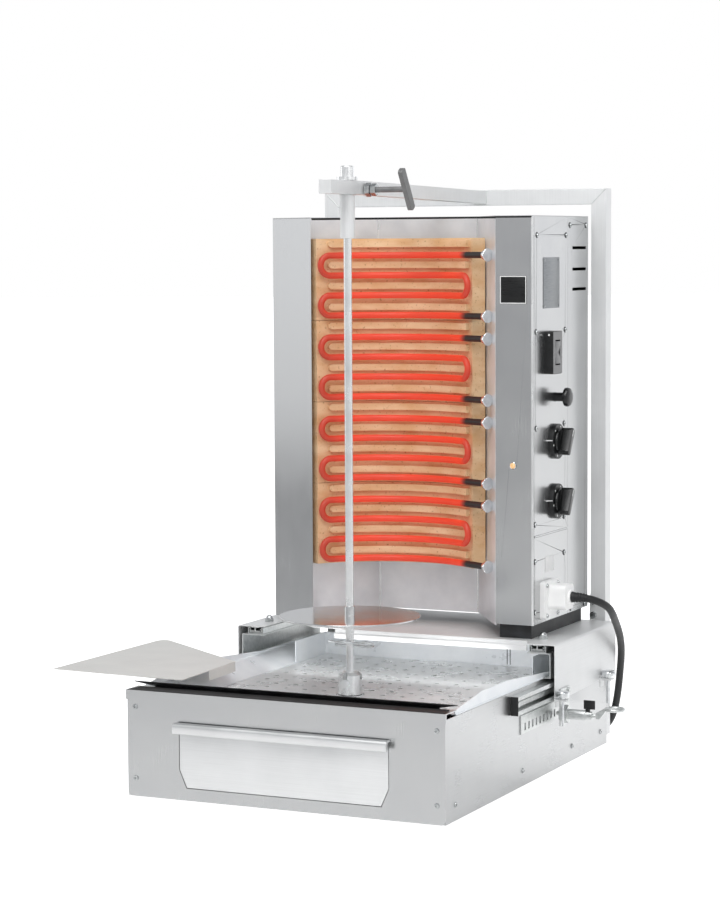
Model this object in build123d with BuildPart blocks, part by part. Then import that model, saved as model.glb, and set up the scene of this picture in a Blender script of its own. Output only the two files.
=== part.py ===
from build123d import *
from math import cos, hypot, pi, radians, sin, sqrt, tan
import os

os.makedirs("parts", exist_ok=True)

# Millimetres. X runs to the right, Y to the back and Z up. The origin is on the table,
# at the centre of the base's footprint. The spit turns about a vertical line at SPIT_Y.

# Base: a low folded sheet box on four pads
SHEET = 1.5
BASE_X = 250
BASE_Y = 327
PAD_HEIGHT = 2
WALL_TOP = 148
RIM_BOTTOM = 143
RIM_TOP = 157
RIM_PROUD = 1.5
LEDGE_BACK = -291

# Drawer behind the front panel
DRAWER_X = 164.5
DRAWER_BOTTOM = 20.5
DRAWER_TOP = 115
DRAWER_GAP = 0.8
DRAWER_BACK = -158
DRAWER_BOX_X = 150
DRAWER_FOOT_X = 153
DRAWER_CORNER_Z = 46
HANDLE_X = 168
HANDLE_FRONT = -342.5

# Grease tray and the perforated plate in it
TRAY_FLOOR = 118
TRAY_FRONT = -289
TRAY_BACK = 237
TRAY_WELL_X = 190
TRAY_LEDGE_X = 203
TRAY_RIM_X = 243
FLANGE_X = 248
FLANGE_TOP = 167
FENCE_FRONT = 121
PLATE_Z = 130
PLATE_THICK = 1.2
PLATE_X = 200
PLATE_FRONT = -270
PLATE_BACK = 228
HOLE_STEP = 32
HOLE_RADIUS = 4
FIRST_ROW_Y = 196

# Bridge that carries the grill head, and its slides
BRIDGE_X = 267
BRIDGE_FRONT = 48
BRIDGE_BACK = 316
BRIDGE_TOP = 199
BRIDGE_SKIRT = 112
STRIP_LEFT = -97
STRIP_RIGHT = 222
SLIDE_X = 237.5
SLIDE_Z = 186
CARRIER_BACK = 325
SLOT_STEP = 15
SLOT_COUNT = 9
FIRST_SLOT_Y = 85
PLUNGER_Z = 90
# Each locking pin: where it stands, the radius of its head and of its stem, and its shoulder
FRONT_PIN = (BRIDGE_X + 10.5, 53, 10, 1.8, 118)
REAR_PIN = (BRIDGE_X + 12.2, 249, 11.5, 3.7, 120)

# Spit, its drive and the frame that holds its top
SPIT_Y = -102
ROD_RADIUS = 6
ROD_BOTTOM = 141
ROD_TOP = 835
RUNNING_FIT = 0.05
DISC_RADIUS = 105
DISC_Z = 246
HUB_RADIUS = 17.75
HUB_BOTTOM = 132
HUB_TOP = 165
SHAFT_RADIUS = 7
BRACKET_Z = 104
GEAR_MODULE = 1.5
WHEEL_TEETH = 40
PINION_TEETH = 10
GEAR_Z = 85
GEAR_THICK = 12
MOTOR_RADIUS = 29
MAST_X = 233
MAST_TUBE = 25
MAST_TOP = 882
MAST_BOTTOM = 12
ARM_X = 32.5
ARM_TOP = 880
BLOCK_TOP = 889
BLOCK_SIZE = 20
BLOCK_FRONT = -177
BLOCK_BACK = -67
SLEEVE_RADIUS = 10.85
SLEEVE_BOTTOM = 805
HANDLE_Y = -62
HANDLE_Z = 876

# Grill head
HEAD_TOP = 837
HEAD_FRONT = 80
HEAD_BACK = 318
HEAD_SHEET = 1.2
BOX_LEFT = 159
BOX_RIGHT = 219
BOX_BOTTOM = 221
WING_X = -243
WING_Y = 133
WING_BOTTOM = 205
PANEL_BACK = 228
PANEL_SPLIT = 354
PANEL_GAP = 0.4
RECESS_BOTTOM = 218

# Heaters: four bricks on an arc, each with one tube in four rows
ARC_X = -5
BRICK_RADIUS = 164
BRICK_THICK = 22
BRICK_FROM = 49
BRICK_TO = 148
BRICK_HEIGHT = 127
BRICK_COUNT = 4
BRICK_TOP = 805
BRICK_GAP = 0.6
RIB_RADIUS = 157
RIB_FROM = 52
RIB_TO = 139.6
RIB_HEIGHT = 10.5
RIB_FIRST = 8.3
RIB_STEP = 32.6
TUBE_ARC = 152
TUBE_RADIUS = 5
ROW_FIRST = 26
ROW_STEP = 31
TURN_LEFT = 141.8
TURN_RIGHT = 52.2
LEAD_FROM = 62
LEAD_LENGTH = 87

# Controls on the right side of the head
DIAL_Y = 173
DIAL_RADIUS = 27
DIAL_THICK = 6.5
KNOB_LEAN = -30
UPPER_KNOB_Z = 494
LOWER_KNOB_Z = 402
PUSH_Z = 562
PUSH_STEM = 6.8
SWITCH_Y = 149.5
SWITCH_Z = 631
INLET_Y = 138
INLET_Z = 260
INLET_END = 260

# Mains cable
CORD = 11.5
COIL_X = 110
COIL_Y = 450
COIL_RADIUS = 72
COIL_PITCH = 12.4
COIL_TURNS = 3
COIL_Z = 6.3
CORD_ROUTE = [
    (260, 138, 260),
    (274, 138, 260),
    (289, 143, 257.5),
    (301, 154, 251.5),
    (307, 171, 242.5),
    (305, 195, 229.5),
    (298, 226, 214),
    (290, 262, 197),
    (282, 298, 174),
    (272, 330, 146),
    (262, 351, 111),
    (254, 363, 73),
    (245, 371, 42),
    (231, 379, 20),
    (209, 382, 8.5),
    (180, 381, 6.4),
]


def slab(x0, x1, y0, y1, z0, z1, mode=Mode.ADD):
    """Adds a box between two corners to the part being built."""
    with Locations(((x0 + x1) / 2, (y0 + y1) / 2, (z0 + z1) / 2)):
        Box(abs(x1 - x0), abs(y1 - y0), abs(z1 - z0), mode=mode)


def bar(radius, start, direction, length, mode=Mode.ADD):
    """Adds a round bar that starts at a point and runs along a direction."""
    with Locations(Plane(start, z_dir=direction).location):
        Cylinder(radius, length, align=(Align.CENTER, Align.CENTER, Align.MIN), mode=mode)


def prism(plane, points, depth, mode=Mode.ADD):
    """Adds a straight prism whose outline is a polygon on a plane."""
    with BuildSketch(plane) as outline:
        with BuildLine():
            Polyline(points, close=True)
        make_face()
    extrude(outline.sketch, amount=depth, mode=mode)


def folded(points, thick, z0, z1):
    """Adds an upright folded sheet, to the left of its line, or to the right if thick is negative."""
    side = Side.LEFT if thick > 0 else Side.RIGHT
    with BuildSketch(Plane.XY.offset(z0)) as outline:
        with BuildLine():
            Polyline(points)
            offset(amount=abs(thick), side=side, kind=Kind.INTERSECTION)
        make_face()
    extrude(outline.sketch, amount=z1 - z0)


def hexagon(flats, start, direction, length, mode=Mode.ADD):
    """Adds a hexagonal bar, such as a nut, of a width across its flats."""
    with BuildSketch(Plane(start, z_dir=direction)) as outline:
        RegularPolygon(flats / 2, 6, major_radius=False)
    extrude(outline.sketch, amount=length, mode=mode)


def screw(at, outward, radius=4, height=2, shank=6):
    """Adds a pan head screw with a cross slot, whose head rests on the point."""
    bar(radius, at, outward, height * 0.6)
    tip = Vector(*at) + Vector(*outward) * (height * 0.6)
    bar(radius * 0.8, tip, outward, height * 0.4)
    bar(1.9, Vector(*at) - Vector(*outward) * shank, outward, shank)
    with Locations(Plane(tip, z_dir=outward).location):
        Box(radius, 0.9, height, mode=Mode.SUBTRACT)
        Box(0.9, radius, height, mode=Mode.SUBTRACT)


# Base shell: side walls and rear wall in one bent sheet
SIDE_SCREWS = [(y, 25) for y in (-293, -40, 165, 293)]
with BuildPart() as base_shell:
    slab(-BASE_X, BASE_X, SHEET - BASE_Y, BASE_Y, PAD_HEIGHT, WALL_TOP)
    slab(
        SHEET - BASE_X, BASE_X - SHEET, SHEET - BASE_Y, BASE_Y - SHEET, PAD_HEIGHT, WALL_TOP,
        mode=Mode.SUBTRACT,
    )
    fillet(base_shell.edges().filter_by(Axis.Z).group_by(Axis.Y)[-1], 5)
    for y, z in SIDE_SCREWS:
        bar(2, (-BASE_X, y, z), (1, 0, 0), 2 * BASE_X, mode=Mode.SUBTRACT)
base_shell.part.label = "base_shell"
export_step(base_shell.part, "parts/base_shell.step")

# Front panel with its proud rim, the ledge behind the rim and the drawer's window
FRONT_SCREWS = [(x, z) for x in (-237, 237) for z in (28.5, 132.5)]
WINDOW_X = DRAWER_X + DRAWER_GAP
WINDOW_FOOT_X = DRAWER_FOOT_X + DRAWER_GAP
with BuildPart() as front_panel:
    slab(-BASE_X, BASE_X, -BASE_Y, SHEET - BASE_Y, PAD_HEIGHT, RIM_BOTTOM)
    fillet(front_panel.edges().filter_by(Axis.Y).group_by(Axis.Z)[0], 6)
    prism(
        Plane.XZ.offset(BASE_Y - SHEET),
        [
            (-WINDOW_FOOT_X, DRAWER_BOTTOM - DRAWER_GAP), (WINDOW_FOOT_X, DRAWER_BOTTOM - DRAWER_GAP),
            (WINDOW_X, DRAWER_CORNER_Z), (WINDOW_X, DRAWER_TOP + DRAWER_GAP),
            (-WINDOW_X, DRAWER_TOP + DRAWER_GAP), (-WINDOW_X, DRAWER_CORNER_Z),
        ],
        SHEET, mode=Mode.SUBTRACT,
    )
    slab(
        -BASE_X - RIM_PROUD, BASE_X + RIM_PROUD, -BASE_Y - RIM_PROUD, SHEET - BASE_Y,
        RIM_BOTTOM, RIM_TOP,
    )
    slab(
        -BASE_X - RIM_PROUD, BASE_X + RIM_PROUD, -BASE_Y, LEDGE_BACK,
        RIM_TOP - SHEET, RIM_TOP,
    )
    for x, z in FRONT_SCREWS:
        bar(2, (x, -BASE_Y, z), (0, 1, 0), 3 * SHEET, mode=Mode.SUBTRACT)
front_panel.part.label = "front_panel"
export_step(front_panel.part, "parts/front_panel.step")

# Floor plate with the drawer's runners and its rear stop
RUNNER_X = DRAWER_BOX_X + 1.2
with BuildPart() as floor_plate:
    slab(
        SHEET - BASE_X, BASE_X - SHEET, SHEET - BASE_Y, BASE_Y - SHEET,
        PAD_HEIGHT, PAD_HEIGHT + SHEET,
    )
    for side in (-1, 1):
        slab(side * RUNNER_X, side * (RUNNER_X + SHEET), -318, -150, PAD_HEIGHT + SHEET, 40)
        slab(side * (RUNNER_X - 19), side * RUNNER_X, -318, -150, 19.2, 20.7)
    slab(-40, 40, DRAWER_BACK + 0.8, DRAWER_BACK + 0.8 + SHEET, PAD_HEIGHT + SHEET, 60)
floor_plate.part.label = "floor_plate"
export_step(floor_plate.part, "parts/floor_plate.step")

# Round pads under the base: four near the corners and one under its middle
with BuildPart() as feet:
    with Locations([(x, y, 0) for x in (-215, 215) for y in (-290, 290)] + [(0, 0, 0)]):
        Cylinder(16, PAD_HEIGHT, align=(Align.CENTER, Align.CENTER, Align.MIN))
feet.part.label = "feet"
export_step(feet.part, "parts/feet.step")

# Screws of the front panel and of the side walls
with BuildPart() as panel_screws:
    for x, z in FRONT_SCREWS:
        screw((x, -BASE_Y, z), (0, -1, 0))
    for side in (-1, 1):
        for y, z in SIDE_SCREWS:
            screw((side * BASE_X, y, z), (side, 0, 0))
panel_screws.part.label = "panel_screws"
export_step(panel_screws.part, "parts/panel_screws.step")

# Channels on the side walls, the outer slide members on them, and the side rails outside
RAIL_FRONT = -88
RAIL_BACK = 320
with BuildPart() as fixed_rails:
    for side in (-1, 1):
        for x0, x1, z0, z1 in (
            (258, 259.5, WALL_TOP, SLIDE_Z),
            (222, 259.5, SLIDE_Z - SHEET, SLIDE_Z),
            (248.5, 259.5, WALL_TOP, WALL_TOP + SHEET),
        ):
            slab(side * x0, side * x1, BRIDGE_FRONT, CARRIER_BACK, z0, z1)
        for x0, x1, z0, z1 in (
            (224, 251, 186, 187.2),
            (224, 225.2, 187.2, 195.5),
            (249.8, 251, 187.2, 195.5),
            (225.2, 228, 194.3, 195.5),
            (247, 249.8, 194.3, 195.5),
        ):
            slab(side * x0, side * x1, BRIDGE_FRONT + 4, RAIL_BACK - 2, z0, z1)
        for x0, x1, z0, z1 in (
            (250, 251.5, 115, 142),
            (251.5, 262, 115, 116.5),
            (251.5, 262, 140.5, 142),
            (260.5, 262, 116.5, 121),
            (260.5, 262, 136, 140.5),
            (251.5, 256, 125, 132),
        ):
            slab(side * x0, side * x1, RAIL_FRONT, RAIL_BACK, z0, z1)
        bar(4, (side * 256, RAIL_FRONT + 14, 128.5), (side, 0, 0), 2)
fixed_rails.part.label = "fixed_rails"
export_step(fixed_rails.part, "parts/fixed_rails.step")

# Index rack on the right wall, with one slot for each place of the head
with BuildPart() as index_rack:
    slab(BASE_X, BASE_X + 2, -51, 100, 80, 108)
    for number in range(SLOT_COUNT):
        y = FIRST_SLOT_Y - SLOT_STEP * number
        slab(BASE_X, BASE_X + 2, y - 3.2, y + 3.2, 84.5, 95.5, mode=Mode.SUBTRACT)
index_rack.part.label = "index_rack"
export_step(index_rack.part, "parts/index_rack.step")

# Cross plate inside the base that holds the drive
with BuildPart() as motor_bracket:
    slab(SHEET - BASE_X, BASE_X - SHEET, -150, -54, BRACKET_Z, BRACKET_Z + 2)
    for side in (-1, 1):
        slab(side * (BASE_X - 3.5), side * (BASE_X - SHEET), -150, -54, 88, BRACKET_Z)
    bar(15.1, (0, SPIT_Y, BRACKET_Z), (0, 0, 1), 2, mode=Mode.SUBTRACT)
motor_bracket.part.label = "motor_bracket"
export_step(motor_bracket.part, "parts/motor_bracket.step")

# Gearbox housing under the cross plate
PINION_X = GEAR_MODULE * (WHEEL_TEETH + PINION_TEETH) / 2
with BuildPart() as gearbox_housing:
    slab(-40, 60, -142, -62, 78, BRACKET_Z)
    fillet(gearbox_housing.edges().filter_by(Axis.Z), 8)
    slab(-37, 57, -139, -65, 81, 101, mode=Mode.SUBTRACT)
    bar(15.1, (0, SPIT_Y, 101), (0, 0, 1), 3, mode=Mode.SUBTRACT)
    bar(4.3, (PINION_X, SPIT_Y, 78), (0, 0, 1), 3, mode=Mode.SUBTRACT)
    bar(9, (0, SPIT_Y, 81), (0, 0, 1), 2.5)
gearbox_housing.part.label = "gearbox_housing"
export_step(gearbox_housing.part, "parts/gearbox_housing.step")

# Geared motor that hangs under the housing
with BuildPart() as motor:
    bar(MOTOR_RADIUS, (PINION_X, SPIT_Y, 24), (0, 0, 1), 52)
    fillet(motor.edges().filter_by(GeomType.CIRCLE).group_by(Axis.Z)[0], 5)
    bar(35, (PINION_X, SPIT_Y, 75), (0, 0, 1), 3)
    bar(4 + RUNNING_FIT, (PINION_X, SPIT_Y, 46), (0, 0, 1), 32, mode=Mode.SUBTRACT)
motor.part.label = "motor"
export_step(motor.part, "parts/motor.step")

# Flanged bearing bush of the drive shaft
with BuildPart() as hub_bearing:
    bar(15, (0, SPIT_Y, 101), (0, 0, 1), 5)
    bar(22, (0, SPIT_Y, BRACKET_Z + 2), (0, 0, 1), 4)
    bar(SHAFT_RADIUS + RUNNING_FIT, (0, SPIT_Y, 101), (0, 0, 1), 9, mode=Mode.SUBTRACT)
hub_bearing.part.label = "hub_bearing"
export_step(hub_bearing.part, "parts/hub_bearing.step")

# Frame of square tube behind the base
POST_IN = MAST_X - MAST_TUBE / 2
POST_OUT = MAST_X + MAST_TUBE / 2
POST_BACK = BASE_Y + MAST_TUBE
TUBE_WALL = 2
with BuildPart() as mast_frame:
    for side in (-1, 1):
        slab(side * POST_IN, side * POST_OUT, BASE_Y, POST_BACK, MAST_BOTTOM, MAST_TOP)
    slab(-POST_IN, POST_IN, BASE_Y, POST_BACK, MAST_TOP - MAST_TUBE, MAST_TOP)
    for side in (-1, 1):
        slab(
            side * (POST_IN + TUBE_WALL), side * (POST_OUT - TUBE_WALL),
            BASE_Y + TUBE_WALL, POST_BACK - TUBE_WALL, MAST_BOTTOM, MAST_TOP - TUBE_WALL,
            mode=Mode.SUBTRACT,
        )
        slab(side * 219, side * (POST_IN), BASE_Y, BASE_Y + 3, 196, 238)
    slab(
        -POST_IN, POST_IN, BASE_Y + TUBE_WALL, POST_BACK - TUBE_WALL,
        MAST_TOP - MAST_TUBE + TUBE_WALL, MAST_TOP - TUBE_WALL, mode=Mode.SUBTRACT,
    )
mast_frame.part.label = "mast_frame"
export_step(mast_frame.part, "parts/mast_frame.step")

# Arm from the crossbar to the block over the spit, with the sleeve for the upper pin
BLOCK_HALF = BLOCK_SIZE / 2
with BuildPart() as mast_arm:
    with BuildSketch(Plane((ARM_X, BASE_Y, ARM_TOP - BLOCK_HALF), x_dir=(1, 0, 0), z_dir=(0, 1, 0))):
        Rectangle(BLOCK_SIZE, BLOCK_SIZE)
    with BuildSketch(Plane((0, BLOCK_BACK, BLOCK_TOP - BLOCK_HALF), x_dir=(1, 0, 0), z_dir=(0, 1, 0))):
        Rectangle(BLOCK_SIZE, BLOCK_SIZE)
    loft()
    slab(-10, 10, BLOCK_FRONT, BLOCK_BACK, BLOCK_TOP - BLOCK_SIZE, BLOCK_TOP)
    bar(
        SLEEVE_RADIUS, (0, SPIT_Y, SLEEVE_BOTTOM), (0, 0, 1),
        BLOCK_TOP - BLOCK_SIZE - SLEEVE_BOTTOM,
    )
    bar(
        ROD_RADIUS + RUNNING_FIT, (0, SPIT_Y, SLEEVE_BOTTOM), (0, 0, 1),
        BLOCK_TOP - SLEEVE_BOTTOM, mode=Mode.SUBTRACT,
    )
    bar(4.25, (-20, HANDLE_Y, HANDLE_Z), (1, 0, 0), 40, mode=Mode.SUBTRACT)
mast_arm.part.label = "mast_arm"
export_step(mast_arm.part, "parts/mast_arm.step")

# Bolts of the frame and the welded nuts of the clamping screw
ARM_SIDE = 10 + ARM_X * (HANDLE_Y - BLOCK_BACK) / (BASE_Y - BLOCK_BACK)
with BuildPart() as mast_fasteners:
    for side in (-1, 1):
        for z in (45, 122):
            bar(9, (side * MAST_X, POST_BACK, z), (0, 1, 0), 1.2)
            hexagon(13, (side * MAST_X, POST_BACK + 1.2, z), (0, 1, 0), 5.3)
        for z in (206, 228):
            hexagon(10, (side * 226, BASE_Y, z), (0, -1, 0), 5)
    for start, flats in ((ARM_SIDE + 1.5, 18), (ARM_SIDE + 10.5, 16)):
        hexagon(flats, (start, HANDLE_Y, HANDLE_Z), (1, 0, 0), 8)
    bar(4.25, (0, HANDLE_Y, HANDLE_Z), (1, 0, 0), 40, mode=Mode.SUBTRACT)
mast_fasteners.part.label = "mast_fasteners"
export_step(mast_fasteners.part, "parts/mast_fasteners.step")

# Clamping screw with its flat T grip
GRIP_TILT = radians(33)
GRIP_START = 73
with BuildPart() as t_handle:
    bar(4.2, (-5, HANDLE_Y, HANDLE_Z), (1, 0, 0), GRIP_START + 5)
    along_grip = (0, -sin(GRIP_TILT), cos(GRIP_TILT))
    grip = Plane((GRIP_START, HANDLE_Y, HANDLE_Z), x_dir=along_grip, z_dir=(1, 0, 0))
    with Locations(grip.location):
        Box(68, 13, 7, align=(Align.CENTER, Align.CENTER, Align.MIN))
    fillet(t_handle.edges().filter_by(Axis.X), 4)
t_handle.part.label = "t_handle"
export_step(t_handle.part, "parts/t_handle.step")

# Upper pin that drops through the block and centres the rod
with BuildPart() as upper_pin:
    bar(ROD_RADIUS, (0, SPIT_Y, ROD_TOP + 1), (0, 0, 1), BLOCK_TOP + 0.5 - ROD_TOP - 1)
    bar(16, (0, SPIT_Y, BLOCK_TOP + 0.5), (0, 0, 1), 5)
    bar(10, (0, SPIT_Y, BLOCK_TOP + 5.5), (0, 0, 1), 16)
    fillet(upper_pin.edges().filter_by(GeomType.CIRCLE).group_by(Axis.Z)[-1], 2)
upper_pin.part.label = "upper_pin"
export_step(upper_pin.part, "parts/upper_pin.step")

# Spit rod with the collar under the disc and the cross pin for the hub
CLIP_Z = 204
with BuildPart() as spit_rod:
    bar(ROD_RADIUS, (0, SPIT_Y, ROD_BOTTOM), (0, 0, 1), ROD_TOP - ROD_BOTTOM)
    chamfer(spit_rod.edges().filter_by(GeomType.CIRCLE).group_by(Axis.Z)[-1], 2)
    bar(8.5, (0, SPIT_Y, DISC_Z - 16), (0, 0, 1), 16)
    bar(3, (-14, SPIT_Y, 158), (1, 0, 0), 28)
    bar(2.2, (-10, SPIT_Y, CLIP_Z), (1, 0, 0), 20, mode=Mode.SUBTRACT)
spit_rod.part.label = "spit_rod"
export_step(spit_rod.part, "parts/spit_rod.step")

# Disc that carries the meat
with BuildPart() as meat_disc:
    bar(DISC_RADIUS, (0, SPIT_Y, DISC_Z), (0, 0, 1), 3)
    fillet(meat_disc.edges().filter_by(GeomType.CIRCLE), 1)
    bar(7.6, (0, SPIT_Y, DISC_Z + 2), (0, 0, 1), 15)
    bar(ROD_RADIUS + RUNNING_FIT, (0, SPIT_Y, DISC_Z), (0, 0, 1), 17, mode=Mode.SUBTRACT)
meat_disc.part.label = "meat_disc"
export_step(meat_disc.part, "parts/meat_disc.step")

# Spring clip through the rod: a straight leg in the hole, a loop and a wavy leg outside
CLIP_WIRE = 1.75
clip_plane = Plane((0, SPIT_Y, CLIP_Z), x_dir=(1, 0, 0), z_dir=(0, 0.5, 0.87))
CLIP_LINE = [
    (-24, 0), (26, 0), (39, -3), (43, -11), (33, -18), (20, -11.5), (9, -10.5), (-6, -15),
    (-20, -10.5), (-30, -14),
]
with BuildPart() as spit_clip:
    with BuildLine(clip_plane) as clip_wire:
        FilletPolyline(*CLIP_LINE, radius=4.2)
    with BuildSketch(Plane(clip_wire.line @ 0, z_dir=clip_wire.line % 0)) as clip_end:
        Circle(CLIP_WIRE)
    sweep(clip_end.sketch, path=clip_wire.line)
spit_clip.part.label = "spit_clip"
export_step(spit_clip.part, "parts/spit_clip.step")

# Drive hub with crossed slots for the rod's pin, and the shaft into the gearbox
with BuildPart() as drive_hub:
    bar(HUB_RADIUS, (0, SPIT_Y, HUB_BOTTOM), (0, 0, 1), HUB_TOP - HUB_BOTTOM)
    chamfer(drive_hub.edges().filter_by(GeomType.CIRCLE).group_by(Axis.Z)[-1], 4)
    bar(SHAFT_RADIUS, (0, SPIT_Y, 83.7), (0, 0, 1), HUB_BOTTOM - 83.7)
    bar(ROD_RADIUS + RUNNING_FIT, (0, SPIT_Y, ROD_BOTTOM - 0.2), (0, 0, 1), 30, mode=Mode.SUBTRACT)
    for turn in (0, 90):
        with Locations(Location((0, SPIT_Y, HUB_TOP), (0, 0, turn))):
            Box(2 * HUB_RADIUS + 2, 6.4, 2 * 10.3, mode=Mode.SUBTRACT)
drive_hub.part.label = "drive_hub"
export_step(drive_hub.part, "parts/drive_hub.step")


# Gear teeth: involute flanks, with short tips and some backlash
PRESSURE = 22
BACKLASH = 0.12


def tooth_flank(teeth, steps=5):
    """Gives the radius and the half angle of points along one flank, from root to tip."""
    pitch = GEAR_MODULE * teeth / 2
    base = pitch * cos(radians(PRESSURE))
    tip = pitch + 0.75 * GEAR_MODULE
    roll = tan(radians(PRESSURE)) - radians(PRESSURE)
    half = pi / (2 * teeth) - BACKLASH / pitch
    low = max(base, pitch - 0.9 * GEAR_MODULE)
    flank = []
    for step in range(steps + 1):
        radius = low + (tip - low) * step / steps
        along = sqrt(max(radius * radius / base / base - 1, 0))
        flank.append((radius, half + roll - (along - atan_of(along))))
    root = pitch - 1.15 * GEAR_MODULE
    return [(root, flank[0][1])] + flank


def atan_of(value):
    """Gives the angle whose tangent is the value."""
    return radians(Vector(1, 0).get_angle(Vector(1, value)))


def gear_outline(teeth, first):
    """Gives the corner points of a gear whose first tooth points at an angle in degrees."""
    points = []
    for tooth in range(teeth):
        middle = radians(first) + 2 * pi * tooth / teeth
        flank = tooth_flank(teeth)
        points += [(r * cos(middle - a), r * sin(middle - a)) for r, a in flank]
        points += [(r * cos(middle + a), r * sin(middle + a)) for r, a in reversed(flank)]
    return points


with BuildPart() as gear_wheel:
    prism(Plane((0, SPIT_Y, GEAR_Z)), gear_outline(WHEEL_TEETH, 0), GEAR_THICK)
    bar(12, (0, SPIT_Y, GEAR_Z), (0, 0, 1), GEAR_THICK + 3)
    bar(SHAFT_RADIUS, (0, SPIT_Y, GEAR_Z), (0, 0, 1), 20, mode=Mode.SUBTRACT)
gear_wheel.part.label = "gear_wheel"
export_step(gear_wheel.part, "parts/gear_wheel.step")

with BuildPart() as gear_pinion:
    prism(
        Plane((PINION_X, SPIT_Y, GEAR_Z)), gear_outline(PINION_TEETH, 180 / PINION_TEETH),
        GEAR_THICK,
    )
    bar(4, (PINION_X, SPIT_Y, 47), (0, 0, 1), GEAR_Z + GEAR_THICK - 47)
gear_pinion.part.label = "gear_pinion"
export_step(gear_pinion.part, "parts/gear_pinion.step")

# Grease tray: a well, a ledge for the plate, sloped borders, upright side flanges and a rear fence
HUB_COLLAR = 19.6
with BuildPart() as grease_tray:
    slab(-TRAY_WELL_X, TRAY_WELL_X, PLATE_FRONT + 10, PLATE_BACK - 10, TRAY_FLOOR, 129.7)
    slab(-TRAY_LEDGE_X, TRAY_LEDGE_X, PLATE_FRONT - 3, PLATE_BACK + 3, 128.2, 133)
    with BuildSketch(Plane.XY.offset(133)):
        with Locations((0, (PLATE_FRONT + PLATE_BACK) / 2)):
            Rectangle(2 * TRAY_LEDGE_X, PLATE_BACK - PLATE_FRONT + 6)
    with BuildSketch(Plane.XY.offset(150)):
        with Locations((0, (TRAY_FRONT + TRAY_BACK) / 2)):
            Rectangle(2 * TRAY_RIM_X, TRAY_BACK - TRAY_FRONT - 2)
    loft()
    slab(
        SHEET - TRAY_WELL_X, TRAY_WELL_X - SHEET, PLATE_FRONT + 11.5, PLATE_BACK - 11.5,
        TRAY_FLOOR + SHEET, 129.7, mode=Mode.SUBTRACT,
    )
    slab(
        SHEET - TRAY_LEDGE_X, TRAY_LEDGE_X - SHEET, PLATE_FRONT - 1.5, PLATE_BACK + 1.5,
        129.7, 133, mode=Mode.SUBTRACT,
    )
    with BuildSketch(Plane.XY.offset(133)):
        with Locations((0, (PLATE_FRONT + PLATE_BACK) / 2)):
            Rectangle(2 * (TRAY_LEDGE_X - SHEET), PLATE_BACK - PLATE_FRONT + 3)
    with BuildSketch(Plane.XY.offset(150)):
        with Locations((0, (TRAY_FRONT + TRAY_BACK) / 2)):
            Rectangle(2 * (TRAY_RIM_X - 2 * SHEET), TRAY_BACK - TRAY_FRONT - 5)
    loft(mode=Mode.SUBTRACT)
    for side in (-1, 1):
        slab(
            side * (TRAY_RIM_X - 2), side * FLANGE_X, TRAY_FRONT + 1, TRAY_BACK - 1,
            148.4, 149.9,
        )
        slab(side * FLANGE_X, side * 249.8, TRAY_FRONT + 1, BRIDGE_FRONT - 4, 148.4, 149.9)
        edge = Plane.YZ.offset(side * (FLANGE_X - SHEET / 2) - SHEET / 2)
        prism(
            edge,
            [
                (TRAY_FRONT + 1, 148.5), (TRAY_FRONT + 1, 155), (-190, FLANGE_TOP),
                (-95, FLANGE_TOP), (91, 153), (TRAY_BACK - 1, 153), (TRAY_BACK - 1, 148.5),
            ],
            SHEET,
        )
    for side in (-1, 1):
        slab(
            side * (TRAY_LEDGE_X - SHEET), side * TRAY_LEDGE_X, FENCE_FRONT, PLATE_BACK + 3,
            131, FLANGE_TOP,
        )
    slab(-TRAY_LEDGE_X, TRAY_LEDGE_X, PLATE_BACK + 1.5, PLATE_BACK + 3, 131, FLANGE_TOP)
    slab(-TRAY_RIM_X, TRAY_RIM_X, TRAY_BACK - 2.5, TRAY_BACK - 1, 148, 155)
    slab(-225, 225, TRAY_FRONT + 1, TRAY_FRONT + 2.5, 148, 158)
    bar(HUB_COLLAR, (0, SPIT_Y, TRAY_FLOOR), (0, 0, 1), 13)
    bar(HUB_RADIUS + 0.45, (0, SPIT_Y, TRAY_FLOOR), (0, 0, 1), 13, mode=Mode.SUBTRACT)
grease_tray.part.label = "grease_tray"
export_step(grease_tray.part, "parts/grease_tray.step")

# Dark lip along the tray's front edge, with pointed ends
lip_plane = Plane((0, TRAY_FRONT + 1, 158.3), x_dir=(1, 0, 0), z_dir=(0, -0.62, -0.78))
with BuildPart() as tray_lip:
    prism(lip_plane, [(-225, 0), (225, 0), (256, 10.6), (-256, 10.6)], SHEET)
    slab(-225, 225, TRAY_FRONT - 0.4, TRAY_FRONT + 1, 149.5, 158.3)
tray_lip.part.label = "tray_lip"
export_step(tray_lip.part, "parts/tray_lip.step")

# Perforated plate over the well
with BuildPart() as perforated_plate:
    slab(-PLATE_X, PLATE_X, PLATE_FRONT, PLATE_BACK, PLATE_Z, PLATE_Z + PLATE_THICK)
    fillet(perforated_plate.edges().filter_by(Axis.Z), 4)
    centres = [
        (HOLE_STEP * (column + 0.5), FIRST_ROW_Y - HOLE_STEP * row, PLATE_Z)
        for column in range(-6, 6)
        for row in range(15)
    ]
    with Locations([c for c in centres if hypot(c[0], c[1] - SPIT_Y) > 20]):
        Cylinder(HOLE_RADIUS, 4, mode=Mode.SUBTRACT)
    bar(21, (0, SPIT_Y, PLATE_Z - 1), (0, 0, 1), 4, mode=Mode.SUBTRACT)
perforated_plate.part.label = "perforated_plate"
export_step(perforated_plate.part, "parts/perforated_plate.step")

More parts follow.
